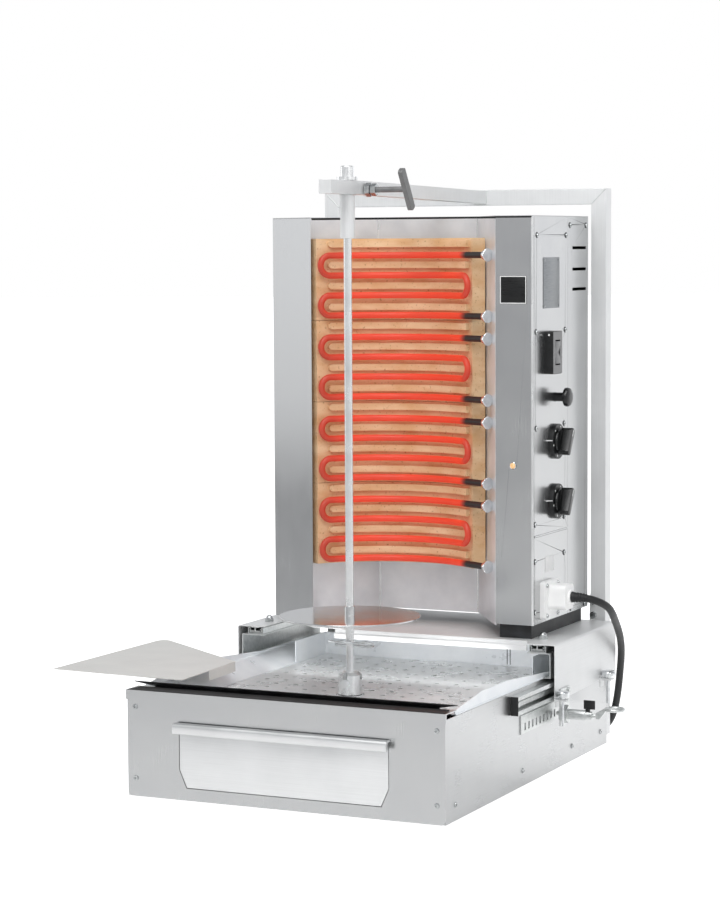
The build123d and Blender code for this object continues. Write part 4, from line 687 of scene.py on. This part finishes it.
def smooth_line(points, name, resolution=12):
    """Gives the points of one smooth NURBS line through control points in metres."""
    curve = bpy.data.curves.new(name, "CURVE")
    curve.dimensions = "3D"
    spline = curve.splines.new("NURBS")
    spline.points.add(len(points) - 1)
    for control, point in zip(spline.points, points):
        control.co = (*point, 1.0)
    spline.order_u = 3
    spline.use_endpoint_u = True
    spline.resolution_u = resolution
    holder = bpy.data.objects.new(name, curve)
    bpy.context.scene.collection.objects.link(holder)
    line = bpy.data.meshes.new_from_object(holder)
    followed = [vert.co.copy() for vert in line.vertices]
    bpy.data.objects.remove(holder)
    bpy.data.curves.remove(curve)
    bpy.data.meshes.remove(line)
    kept = [followed[0]]
    for point in followed[1:]:
        if (point - kept[-1]).length > 0.2 * MM:
            kept.append(point)
    return kept


class GrillSettings(bpy.types.PropertyGroup):
    """What a user would change about the grill's looks."""

    cable_diameter: bpy.props.FloatProperty(
        name="Cable diameter", description="Outer diameter of the mains cable", default=11.5 * MM,
        unit="LENGTH", subtype="DISTANCE",
    )
    tube_diameter: bpy.props.FloatProperty(
        name="Heater diameter", description="Outer diameter of the heating tubes", default=10 * MM,
        unit="LENGTH", subtype="DISTANCE",
    )
    dial_marks: bpy.props.IntProperty(
        name="Dial marks", description="Number of marks around each dial", default=6, min=2,
    )


class StageSettings(bpy.types.PropertyGroup):
    """The floor, the light and the camera."""

    floor_colour: bpy.props.FloatVectorProperty(
        name="Floor colour", description="Colour of the floor and the sweep behind it", subtype="COLOR",
        default=linear("#CACACA")[:3], size=3,
    )
    camera_place: bpy.props.FloatVectorProperty(
        name="Camera place", description="Where the camera stands", subtype="TRANSLATION",
        default=(1.6339, -3.5375, 0.7952), size=3,
    )
    camera_lens: bpy.props.FloatProperty(
        name="Lens", description="Focal length on a 36 mm long side, in millimetres", default=102.89,
    )
    key_power: bpy.props.FloatProperty(
        name="Key light", description="Power of the big soft light on the right", default=9, unit="POWER",
    )


# How bright the steel sees the floor and the world, in front on the left and behind on the right
NEAR_FLOOR = 0.36
FAR_FLOOR = 0.12
BACK_FLOOR = 0.8
FRONT_WORLD = 1.25
BACK_WORLD = 1.9


def bright_side(tree, vector):
    """Gives 0 for directions in front and on the left, rising to 1 behind on the right."""
    unit = add(tree, "ShaderNodeVectorMath", [vector], operation="NORMALIZE").outputs["Vector"]
    pair = [unit, (0.43, 0.9, 0.0)]
    share = add(tree, "ShaderNodeVectorMath", pair, operation="DOT_PRODUCT").outputs["Value"]
    return add(tree, "ShaderNodeMapRange", [share, 0.4, 0.95]).outputs[0]


class StageOperator(bpy.types.Operator):
    """Lays a pale floor, hangs soft lights and sets the camera at the photograph's angle"""

    bl_idname = "kebab_grill.stage"
    bl_label = "Stage"

    def execute(self, context):
        settings = context.scene.kebab_stage
        material, tree, shader = new_finish("pale_studio_floor")
        soft = pattern(tree, (400, 400, 400), detail=2)
        roughness = add(tree, "ShaderNodeMapRange", [soft, 0.3, 0.7, 0.5, 0.62]).outputs[0]
        tree.links.new(roughness, shader.inputs["Roughness"])
        shader.inputs["Base Color"].default_value = (*settings.floor_colour, 1.0)
        shader.inputs["Specular IOR Level"].default_value = 0.0
        shader.inputs["Emission Color"].default_value = (1.0, 1.0, 1.0, 1.0)
        # The camera sees a white floor. The steel mirrors a greyer one, dimmest far in front on the left.
        place = add(tree, "ShaderNodeTexCoord").outputs["Object"]
        away = add(tree, "ShaderNodeVectorMath", [place], operation="LENGTH").outputs["Value"]
        near = add(tree, "ShaderNodeMapRange", [away, 0.6, 2.2, NEAR_FLOOR, FAR_FLOOR]).outputs[0]
        sides = {"Factor": bright_side(tree, place), 2: near, 3: BACK_FLOOR}
        mirrored = add(tree, "ShaderNodeMix", sides, data_type="FLOAT").outputs[0]
        seen = add(tree, "ShaderNodeLightPath").outputs["Is Camera Ray"]
        glow = add(tree, "ShaderNodeMix", {"Factor": seen, 2: mirrored, 3: 1.0}, data_type="FLOAT").outputs[0]
        tree.links.new(glow, shader.inputs["Emission Strength"])
        FINISHES[material.name] = material
        mesh = bmesh.new()
        lathe(mesh, [(0, 0), (2000, 0), (40000, 0)], (0, 0, 0), UP, 48)
        floor = piece("floor", mesh, material.name, None)

        # A white cove for the eye, and softer grey cards around it for the steel to mirror
        world = bpy.data.worlds.new("white_studio")
        context.scene.world = world
        world.use_nodes = True
        tree = world.node_tree
        ray = add(tree, "ShaderNodeTexCoord").outputs["Generated"]
        height = add(tree, "ShaderNodeSeparateXYZ", {"Vector": ray}).outputs["Z"]
        rise = add(tree, "ShaderNodeMapRange", [height, -0.3, 1.0]).outputs[0]
        ramp = add(tree, "ShaderNodeValToRGB", [rise])
        ramp.color_ramp.elements[0].color = linear("#ECECEC")
        ramp.color_ramp.elements[1].color = linear("#BCBDBE")
        horizon = ramp.color_ramp.elements.new(0.28)
        horizon.color = linear("#F2F2F3")
        above = ramp.color_ramp.elements.new(0.55)
        above.color = linear("#B0B1B3")
        patches = {"Vector": ray, "Scale": 1.7, "Detail": 1.0, "Roughness": 0.4}
        cards = add(tree, "ShaderNodeTexNoise", patches).outputs["Fac"]
        share = add(tree, "ShaderNodeMapRange", [cards, 0.38, 0.62]).outputs[0]
        greys = {"Factor": share, 6: linear("#C4C5C7"), 7: linear("#FFFFFF")}
        grey = add(tree, "ShaderNodeMix", greys, data_type="RGBA").outputs[2]
        tones = {"Factor": 1.0, 6: ramp.outputs["Color"], 7: grey}
        shade = add(tree, "ShaderNodeMix", tones, data_type="RGBA", blend_type="MULTIPLY").outputs[2]
        seen = add(tree, "ShaderNodeLightPath").outputs["Is Camera Ray"]
        both = add(tree, "ShaderNodeMix", {"Factor": seen, 6: shade, 7: linear("#FFFFFF")}, data_type="RGBA")
        tree.links.new(both.outputs[2], tree.nodes["Background"].inputs["Color"])
        levels = [bright_side(tree, ray), 0, 1, FRONT_WORLD, BACK_WORLD]
        cove = add(tree, "ShaderNodeMapRange", levels).outputs[0]
        strength = add(tree, "ShaderNodeMix", {"Factor": seen, 2: cove, 3: 1.0}, data_type="FLOAT").outputs[0]
        tree.links.new(strength, tree.nodes["Background"].inputs["Strength"])

        for name, place, aim, size, power in (
            ("key_softbox", (2.4, -1.6, 2.0), (0, 0, 0.45), (1.2, 1.8), settings.key_power),
            ("front_softbox", (0.2, -2.4, 2.4), (0, 0, 0.2), (1.2, 1.4), 24),
            ("left_softbox", (-2.8, -0.2, 1.2), (0, 0, 0.5), (1.0, 2.0), 6),
            ("top_softbox", (0.1, -0.9, 2.8), (0, 0, 0.2), (1.8, 1.8), 28),
            ("tray_card", (0, 0.02, 0.172), (0, 0.231, 0.15), (0.36, 0.02), 0.13),
        ):
            light = bpy.data.lights.new(name, "AREA")
            light.shape = "RECTANGLE"
            light.size, light.size_y = size
            light.energy = power
            lamp = bpy.data.objects.new(name, light)
            context.scene.collection.objects.link(lamp)
            lamp.location = place
            lamp.rotation_euler = (Vector(aim) - Vector(place)).to_track_quat("-Z", "Y").to_euler()

        eye = bpy.data.cameras.new("photograph_view")
        eye.sensor_width = 36
        eye.lens = settings.camera_lens
        eye.clip_end = 40
        camera = bpy.data.objects.new("photograph_view", eye)
        context.scene.collection.objects.link(camera)
        yaw, pitch, roll = radians(25.19), radians(4.6), radians(-0.31)
        forward = Vector((-sin(yaw) * cos(pitch), cos(yaw) * cos(pitch), -sin(pitch)))
        right = Vector((cos(yaw), sin(yaw), 0))
        upward = right.cross(forward)
        wide = right * cos(roll) + upward * sin(roll)
        high = upward * cos(roll) - right * sin(roll)
        camera.matrix_world = Matrix((
            (wide.x, high.x, -forward.x, settings.camera_place[0]),
            (wide.y, high.y, -forward.y, settings.camera_place[1]),
            (wide.z, high.z, -forward.z, settings.camera_place[2]),
            (0, 0, 0, 1),
        ))
        context.scene.camera = camera
        context.scene.view_settings.view_transform = "Standard"
        return {"FINISHED"}


class PackedFinishOperator(bpy.types.Operator):
    """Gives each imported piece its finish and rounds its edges"""

    bl_idname = "kebab_grill.packed_finishes"
    bl_label = "Finishes of the packed pieces"

    def execute(self, context):
        for material, widths in PACKED.items():
            for name, width in widths.items():
                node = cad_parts[name]
                node.data.materials.clear()
                node.data.materials.append(finish(material))
                soften(node, name, width)
        return {"FINISHED"}


class CableOperator(bpy.types.Operator):
    """Lays the mains cable from the inlet to its coil and plug"""

    bl_idname = "kebab_grill.cable"
    bl_label = "Mains cable"

    def execute(self, context):
        diameter = context.scene.kebab_grill.cable_diameter
        controls = [Vector(point) * MM for point in CABLE_ROUTE]
        steps = COIL_TURNS * POINTS_A_TURN
        controls += [turn_point(step / POINTS_A_TURN)[0] * MM for step in range(steps + 1)]
        last, heading = turn_point(COIL_TURNS)
        controls += [(last + heading * PLUG_LEAD * share) * MM for share in (0.25, 0.6, 1.0)]
        line = smooth_line(controls, "cable_line")
        mesh = bmesh.new()
        tube(mesh, [point / MM for point in line], diameter / MM / 2, 18)
        cable = piece("mains_cable_sheath", mesh, "chloroprene_rubber", None)
        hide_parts("mains_cable", "cable_coil")
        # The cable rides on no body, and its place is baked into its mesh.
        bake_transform(cable)

        mesh = bmesh.new()
        end = last + heading * PLUG_LEAD
        body = [(0, 0), (7.6, 0), (8.4, 1.5)]
        for rib in range(4):
            low = 3 + 3 * rib
            body += [(8.4, low), (7.2, low + 0.6), (7.2, low + 1.8), (8.6, low + 2.4)]
        body += [(11.5, 16), (16.8, 20), (18.2, 23)]
        for rib in range(5):
            low = 25 + 4 * rib
            body += [(18.4, low), (17.2, low + 1), (17.2, low + 2.4), (18.4, low + 3.4)]
        body += [(18.5, 50), (18.5, 56.6), (17.6, 58), (12, 58), (12, 57), (0, 57)]
        lathe(mesh, body, end, heading, 40)
        plug = piece("plug_body", mesh, "moulded_nitrile_rubber", "base", ["mains_plug"])
        mesh = bmesh.new()
        across = heading.cross(Vector(UP))
        for side in (-1, 1):
            start = end + heading * 56 + across * 9.5 * side
            lathe(mesh, [(0, 0), (2.4, 0), (2.4, 19), (1.6, 20.6), (0, 21)], start, heading, 20)
        pins = piece("plug_pins", mesh, "chromed_steel", "base")

        mesh = bmesh.new()
        boot = [(0, -0.5), (8.2, -0.5), (8.4, 1.0)]
        for rib in range(4):
            wide = 7.9 - 0.35 * rib
            low = 2.4 + 5 * rib
            boot += [(wide, low), (wide, low + 2.2), (wide - 0.8, low + 2.8), (wide - 0.9, low + 4.4)]
        boot += [(6.3, 22.4), (6.0, 23.4), (0, 23.4)]
        lathe(mesh, boot, (260, 138, 260), (1, 0.06, -0.03), 32)
        piece("cable_boot", mesh, "chloroprene_rubber", "carriage")
        return {"FINISHED"}


def heater_point(angle, z):
    """Gives a point of a heating tube's centre line on the heaters' arc."""
    return Vector((ARC_X + TUBE_ARC * cos(radians(angle)), TUBE_ARC * sin(radians(angle)), z))


def heater_row(first, last, z, steps=40):
    """Gives the points of one level row."""
    return [heater_point(first + (last - first) * step / steps, z) for step in range(steps + 1)]


def heater_bend(angle, z, side, steps=14):
    """Gives the points of the half turn from one row down to the next, to one side of the arc."""
    outward = Vector((sin(radians(angle)), -cos(radians(angle)), 0)) * side
    return [
        heater_point(angle, z - ROW_STEP / 2 + ROW_STEP / 2 * cos(pi * step / steps))
        + outward * (ROW_STEP / 2 * sin(pi * step / steps))
        for step in range(1, steps)
    ]


class HeaterOperator(bpy.types.Operator):
    """Bends the four glowing heating tubes"""

    bl_idname = "kebab_grill.heaters"
    bl_label = "Heating tubes"

    def execute(self, context):
        radius = context.scene.kebab_grill.tube_diameter / MM / 2
        mesh = bmesh.new()
        cold_layer = mesh.verts.layers.float.new("cold")
        for brick in range(BRICK_COUNT):
            rows = [BRICK_TOP - BRICK_HEIGHT * brick - ROW_FIRST - ROW_STEP * row for row in range(4)]
            shares = [step / LEAD_STEPS * LEAD_DRAWN for step in range(1, LEAD_STEPS + 1)]
            lead = [heater_point(LEAD_FROM, rows[0]) + LEAD_WAY * LEAD_LENGTH * s for s in reversed(shares)]
            tail = [heater_point(LEAD_FROM, rows[3]) + LEAD_WAY * LEAD_LENGTH * s for s in shares]
            path = lead + heater_row(LEAD_FROM, TURN_LEFT, rows[0]) + heater_bend(TURN_LEFT, rows[0], -1)
            path += heater_row(TURN_LEFT, TURN_RIGHT, rows[1]) + heater_bend(TURN_RIGHT, rows[1], 1)
            path += heater_row(TURN_RIGHT, TURN_LEFT, rows[2]) + heater_bend(TURN_LEFT, rows[2], -1)
            path += heater_row(TURN_LEFT, LEAD_FROM, rows[3]) + tail
            rings = tube(mesh, path, radius, 18)
            # The first and last stretches, through the reflector wall, stay cold.
            for place, ring in enumerate(rings):
                out = max(LEAD_STEPS - place, place - (len(path) - 1 - LEAD_STEPS), 0) / LEAD_STEPS
                for vert in ring:
                    vert[cold_layer] = min(max((out - WARM_UNTIL) / (COLD_FROM - WARM_UNTIL), 0), 1)
        piece("heater_tubes", mesh, "glowing_heater_tube", "carriage", ["heating_elements"])
        mesh = bmesh.new()
        for brick in range(BRICK_COUNT):
            for row in (0, 3):
                z = BRICK_TOP - BRICK_HEIGHT * brick - ROW_FIRST - ROW_STEP * row
                lathe(mesh, FITTING, heater_point(LEAD_FROM, z) + LEAD_WAY * FITTING_AT, LEAD_WAY, 32)
        piece("lead_fittings", mesh, "chromed_steel", "carriage", ["terminals"])
        return {"FINISHED"}


class ControlOperator(bpy.types.Operator):
    """Makes the knobs, the dials' marks, the push button, the switch and the lamp"""

    bl_idname = "kebab_grill.controls"
    bl_label = "Controls"

    def execute(self, context):
        marks = context.scene.kebab_grill.dial_marks
        foot = PANEL_X + DIAL_THICK + 0.4
        across = (0, cos(radians(KNOB_LEAN)), -sin(radians(KNOB_LEAN)))
        along = (0, sin(radians(KNOB_LEAN)), cos(radians(KNOB_LEAN)))
        for name, node, body, z in (
            ("upper_knob_cap", "knob_upper", "upper_knob", UPPER_KNOB_Z),
            ("lower_knob_cap", "knob_lower", "lower_knob", LOWER_KNOB_Z),
        ):
            mesh = bmesh.new()
            skirt = [(0, 0), (18.7, 0), (19, 0.4), (19, 2.4), (18.4, 3.5), (17, 4), (0, 4)]
            lathe(mesh, skirt, (foot, DIAL_Y, z), RIGHT, 56)
            slab(mesh, rounded(12, 44, 4.5), (foot + 2, DIAL_Y, z), across, along, 18, 1.2)
            piece(name, mesh, "glossy_black_phenolic", body, [node])
            mesh = bmesh.new()
            line = [(-0.7, 9), (0.7, 9), (0.7, 19), (-0.7, 19)]
            slab(mesh, line, (foot + 19.7, DIAL_Y, z), across, along, 0.35)
            piece(name.replace("cap", "pointer"), mesh, "white_print_ink", body)
            mesh = bmesh.new()
            for mark in range(marks):
                turn = radians(132) + 2 * pi * mark / marks
                spot = Vector((PANEL_X + DIAL_THICK, DIAL_Y + 22.9 * cos(turn), z + 22.9 * sin(turn)))
                lathe(mesh, [(0, -0.1), (1.5, -0.1), (1.5, 0.2), (1.3, 0.3), (0, 0.3)], spot, RIGHT, 16)
            # A line on the panel that goes on over the dial's edge
            edge = PANEL_X + DIAL_THICK - 0.3
            block(mesh, (PANEL_X, DIAL_Y - 36, z + 2), (PANEL_X + 0.35, DIAL_Y - 27.3, z + 3.4), 0.1, 1)
            block(mesh, (PANEL_X, DIAL_Y - 27.5, z + 2), (edge, DIAL_Y - 26.6, z + 3.4), 0.1, 1)
            piece(name.replace("knob_cap", "dial_marks"), mesh, "white_print_ink", "carriage")

        mesh = bmesh.new()
        mushroom = [
            (0, -5), (6.8, -5), (6.8, 15.2), (7.6, 16.05), (12.6, 16.2), (14, 16.9), (14.5, 18.2),
            (14.5, 21.3), (13.4, 23.8), (10.6, 25.4), (6, 26), (0, 26),
        ]
        lathe(mesh, mushroom, (PANEL_X, DIAL_Y, PUSH_Z), RIGHT, 48)
        piece("push_cap", mesh, "glossy_black_phenolic", "push_button", ["push_knob"])

        mesh = bmesh.new()
        key = [(6.2, -17), (14.2, -17), (13.6, -8), (12.2, 0), (13.6, 8), (14.2, 17), (6.2, 17), (3.6, 0)]
        slab(mesh, key, (PANEL_X, SWITCH_Y + 9.5, SWITCH_Z), RIGHT, UP, 19, 0.5)
        piece("rocker_cap", mesh, "moulded_grey_polyamide", "rocker_key", ["rocker"])
        mesh = bmesh.new()
        for low_y, high_y, low_z, high_z in (
            (-18.6, -10.3, -31.6, 31.6), (10.3, 18.6, -31.6, 31.6),
            (-10.3, 10.3, -31.6, -19.3), (-10.3, 10.3, 19.3, 31.6),
        ):
            low = (PANEL_X + 12.9, SWITCH_Y + low_y, SWITCH_Z + low_z)
            block(mesh, low, (PANEL_X + 13.4, SWITCH_Y + high_y, SWITCH_Z + high_z))
        piece("switch_frame", mesh, "moulded_grey_polyamide", "carriage")
        mesh = bmesh.new()
        dot = [(0, 0), (1.6, 0), (1.6, 0.3), (1.3, 0.5), (0, 0.5)]
        lathe(mesh, dot, (PANEL_X + 6.5, SWITCH_Y - 19.5, SWITCH_Z + 27), FRONT, 20)
        piece("switch_case_dot", mesh, "white_print_ink", "carriage")

        mesh = bmesh.new()
        dome = [(0, 0.2), (4.2, 0.2), (4.2, 1.6), (3.6, 2.6), (2.2, 3.2), (0, 3.4)]
        lathe(mesh, dome, (LAMP_X, HEAD_FRONT, LAMP_Z), FRONT, 32)
        piece("lamp_dome", mesh, "tinted_polycarbonate", "carriage", ["pilot_lamp"])
        mesh = bmesh.new()
        bezel = [(4.2, -9), (4.2, 1.9), (4.6, 2.2), (5.2, 2), (5.5, 1.2), (5.5, -9), (4.2, -9)]
        lathe(mesh, bezel, (LAMP_X, HEAD_FRONT, LAMP_Z), FRONT, 32)
        piece("lamp_bezel", mesh, "chromed_steel", "carriage")
        return {"FINISHED"}


class SignPlateOperator(bpy.types.Operator):
    """Fixes the bare sign plates: a dark one on the front and two pale ones on the side"""

    bl_idname = "kebab_grill.sign_plates"
    bl_label = "Sign plates"

    def execute(self, context):
        (left, low), (right, high) = FRONT_SIGN
        mesh = bmesh.new()
        block(mesh, (left, HEAD_FRONT - 0.8, low), (right, HEAD_FRONT - 0.02, high), 0.3)
        piece("front_sign", mesh, "black_anodised_aluminium", "carriage", ["plates"])
        # Its border: four bars 1.2 mm wide, 0.4 mm inside its edge
        mesh = bmesh.new()
        for x0, z0, x1, z1 in (
            (left + 0.4, low + 0.4, right - 0.4, low + 1.6),
            (left + 0.4, high - 1.6, right - 0.4, high - 0.4),
            (left + 0.4, low + 1.6, left + 1.6, high - 1.6),
            (right - 1.6, low + 1.6, right - 0.4, high - 1.6),
        ):
            block(mesh, (x0, HEAD_FRONT - 0.9, z0), (x1, HEAD_FRONT - 0.75, z1))
        piece("front_sign_border", mesh, "white_print_ink", "carriage")

        (near, low), (far, high) = SIDE_SIGN
        mesh = bmesh.new()
        block(mesh, (PANEL_X + 0.02, near, low), (PANEL_X + 0.7, far, high), 0.3)
        piece("side_sign", mesh, "silver_anodised_aluminium", "carriage")
        rivet_places = [(y, z) for y in (near + 3.5, far - 3.5) for z in (low + 3.5, high - 3.5)]

        (near, low), (far, high) = LOWER_SIDE_SIGN
        mesh = bmesh.new()
        block(mesh, (PANEL_X + 0.02, near, low), (PANEL_X + 0.35, far, high), 0.15)
        piece("lower_side_sign", mesh, "white_sign_film", "carriage")
        mesh = bmesh.new()
        rivet = [(0, 1.9), (1.0, 1.7), (1.6, 1.1), (1.7, 0.4), (1.7, 0)]
        for y, z in rivet_places:
            lathe(mesh, rivet, (PANEL_X + 0.3, y, z), RIGHT, 16)
        piece("side_sign_rivets", mesh, "plated_screw_steel", "carriage")
        return {"FINISHED"}


class SheetDetailOperator(bpy.types.Operator):
    """Adds seams, end stops and welds that the sheet metal shows, with painted shadow strips and painted
    highlights on the bends
    """

    bl_idname = "kebab_grill.sheet_details"
    bl_label = "Seams, stops and welds"

    def execute(self, context):
        # Painted shadow: black strips under the roof's front edge and along the head's top edge, where the
        # overhang is shaded
        mesh = bmesh.new()
        block(mesh, (-149, HEAD_FRONT + 0.4, HEAD_TOP - 3.2), (158.6, HEAD_FRONT + 2.4, HEAD_TOP - 0.05), 0.4)
        low = (BOX_LEFT, HEAD_FRONT - 0.4, HEAD_TOP - 2.4)
        block(mesh, low, (PANEL_X - 0.6, HEAD_FRONT + 0.6, HEAD_TOP - 0.1), 0.2, 1)
        piece("roof_edge_shadow", mesh, "black_enamelled_steel", "carriage")

        # Painted highlights: polished rounds in the bends, at the control box's front corner and the
        # reflector wall's two folds
        mesh = bmesh.new()
        for x, y, radius, low in (
            (PANEL_X - 1.5, HEAD_FRONT + 1.5, 2.0, BOX_BOTTOM), (ARC_X - 84.6, 199.9, 1.3, RECESS_BOTTOM),
            (ARC_X + 84.6, 199.9, 1.3, RECESS_BOTTOM),
        ):
            height = HEAD_TOP - low - 0.1
            lathe(mesh, [(0, 0), (radius, 0), (radius, height), (0, height)], (x, y, low), UP, 24)
        piece("bend_highlight_rods", mesh, "polished_stainless_rod", "carriage")

        # Dark joint behind the front corner, and the seam in the tray's rear fence
        mesh = bmesh.new()
        low = (PANEL_X - 0.2, HEAD_FRONT + 3.0, BOX_BOTTOM + 1)
        block(mesh, low, (PANEL_X + 0.15, HEAD_FRONT + 4.4, HEAD_TOP - 1))
        piece("panel_joint", mesh, "black_enamelled_steel", "carriage")
        mesh = bmesh.new()
        for x in (116.5, 121.5):
            block(mesh, (x, 229.2, 133.5), (x + 1.2, 229.6, 166.5))
        piece("fence_seams", mesh, "dark_enamelled_steel", "tray")

        # Painted shadow: black rings round the screw heads, and dark crosses in the heads for the shade in
        # their recesses
        mesh = bmesh.new()
        shadow_ring = [(3.4, 0.02), (4.5, 0.02), (4.5, 0.5), (3.4, 0.5), (3.4, 0.02)]
        for y, z in SIDE_SCREWS:
            lathe(mesh, shadow_ring, (PANEL_X, y, z), RIGHT, 24)
            for half_y, half_z in ((1.8, 0.5), (0.5, 1.8)):
                low = (PANEL_X + 1.4, y - half_y, z - half_z)
                block(mesh, low, (PANEL_X + 1.85, y + half_y, z + half_z))
        piece("screw_head_shadows", mesh, "moulded_nitrile_rubber", "carriage")

        # Black strip on the ledge in front of the tray, with pointed ends: painted shade and dark reflection
        # of the tray's sloping lip
        mesh = bmesh.new()
        strip = [(-244, -298), (244, -298), (250, -328.3), (-250, -328.3)]
        slab(mesh, strip, (0, 0, RIM_TOP + 0.02), RIGHT, (0, 1, 0), 0.6)
        piece("ledge_shade_strip", mesh, "moulded_nitrile_rubber", "base")

        # Plastic stops at the front ends of the side rails
        mesh = bmesh.new()
        rail_front = -88
        for side in (-1, 1):
            low_x, high_x = sorted((side * 250.3, side * 262.4))
            block(mesh, (low_x, rail_front - 1.4, 114.6), (high_x, rail_front - 0.05, 142.4), 0.5)
        piece("rail_stops", mesh, "moulded_black_polyamide", "base")

        # Weld beads of the mast frame, the arm and the sleeve
        mesh = bmesh.new()
        inner, outer = 220.5, 245.5
        low = MAST_TOP - (outer - inner)
        for side in (-1, 1):
            for y in (POST_BACK - 25, POST_BACK - 0.2):
                weld_bead(mesh, (side * inner, y, low), (side * (outer - 0.6), y, MAST_TOP - 0.6), 1.6)
        piece("mast_welds", mesh, "zinc_plated_steel", "base")
        mesh = bmesh.new()
        left, right, low, high = 22.5, 42.5, 860, 880
        for x0, z0, x1, z1 in (
            (left, low, right, low), (left, high, right, high),
            (left, low, left, high), (right, low, right, high),
        ):
            weld_bead(mesh, (x0, 326.6, z0), (x1, 326.6, z1), 2.6)
        turns = [2 * pi * i / 40 for i in range(40)]
        ring = [(11.2 * cos(turn), SPIT_Y + 11.2 * sin(turn), 868.6) for turn in turns]
        tube(mesh, ring, [1.1 + 0.2 * cos(i * 2.1) for i in range(40)], 8, closed=True)
        piece("arm_welds", mesh, "zinc_plated_steel", "base")
        return {"FINISHED"}


class DrawerOperator(bpy.types.Operator):
    """Forms the drawer's front with its rolled grip lip"""

    bl_idname = "kebab_grill.drawer_front"
    bl_label = "Drawer front"

    def execute(self, context):
        mesh = bmesh.new()
        face = [(-153, 20.5), (153, 20.5), (164.5, 46), (164.5, 114.5), (-164.5, 114.5), (-164.5, 46)]
        slab(mesh, face, (0, BASE_FRONT - 0.02, 0), RIGHT, UP, 1.3, 0.4)
        # The lip's section, from the front panel over its grooved top and round its nose
        top, nose, back = 115.0, -342.5, -328.2
        section = [(back, top - 2.2), (back, top)]
        for groove in (-331.4, -334.4):
            section += [(groove, top), (groove - 0.2, top - 0.8)]
            section += [(groove - 0.9, top - 0.8), (groove - 1.1, top)]
        outer = [radians(angle) for angle in range(0, 91, 15)]
        section += [(nose + 5.5 - 5.5 * sin(turn), top - 5.5 + 5.5 * cos(turn)) for turn in outer]
        section += [(nose, 104), (nose + 0.4, 101.2), (nose + 1.6, 100.2), (nose + 2.8, 101.2)]
        section += [(nose + 2.0, 104.4)]
        section += [(nose + 5.9 - 3.9 * sin(turn), top - 6.1 + 3.9 * cos(turn)) for turn in reversed(outer)]
        slab(mesh, section, (-168, 0, 0), (0, 1, 0), UP, 336)
        piece("drawer_face", mesh, "brushed_stainless_drawer", "drawer", ["drawer_front"])
        return {"FINISHED"}


class PlungerTagOperator(bpy.types.Operator):
    """Hangs the tag on the plunger's housing"""

    bl_idname = "kebab_grill.plunger_tag"
    bl_label = "Plunger tag"

    def execute(self, context):
        mesh = bmesh.new()
        block(mesh, (299, 83.6, 99.5), (317, 85.4, 113), 0.6)
        block(mesh, (302, 82.8, 95.6), (309, 86.2, 101), 0.5)
        piece("plunger_tag", mesh, "moulded_black_polyamide", "carriage")
        return {"FINISHED"}


class GrillPanel(bpy.types.Panel):
    """Lists the grill's pieces and settings"""

    bl_idname = "VIEW3D_PT_kebab_grill"
    bl_label = "Kebab grill"
    bl_space_type = "VIEW_3D"
    bl_region_type = "UI"
    bl_category = "Kebab grill"

    def draw(self, context):
        layout = self.layout
        for settings in (context.scene.kebab_grill, context.scene.kebab_stage):
            box = layout.box()
            for key in settings.__annotations__:
                box.prop(settings, key)
        for operator in OPERATORS:
            layout.operator(operator.bl_idname)


OPERATORS = (
    StageOperator, CableOperator, PackedFinishOperator, HeaterOperator, ControlOperator, SignPlateOperator,
    SheetDetailOperator, DrawerOperator, PlungerTagOperator,
)
CLASSES = (GrillSettings, StageSettings, *OPERATORS, GrillPanel)


def register():
    """Registers the add-on's classes and its settings."""
    for cls in CLASSES:
        bpy.utils.register_class(cls)
    bpy.types.Scene.kebab_grill = bpy.props.PointerProperty(type=GrillSettings)
    bpy.types.Scene.kebab_stage = bpy.props.PointerProperty(type=StageSettings)


def unregister():
    """Takes the settings and the classes away again."""
    del bpy.types.Scene.kebab_stage
    del bpy.types.Scene.kebab_grill
    for cls in reversed(CLASSES):
        bpy.utils.unregister_class(cls)


def main():
    """Builds everything in order."""
    register()
    for operator in OPERATORS:
        family, name = operator.bl_idname.split(".")
        getattr(getattr(bpy.ops, family), name)()


if __name__ == "__main__":
    main()
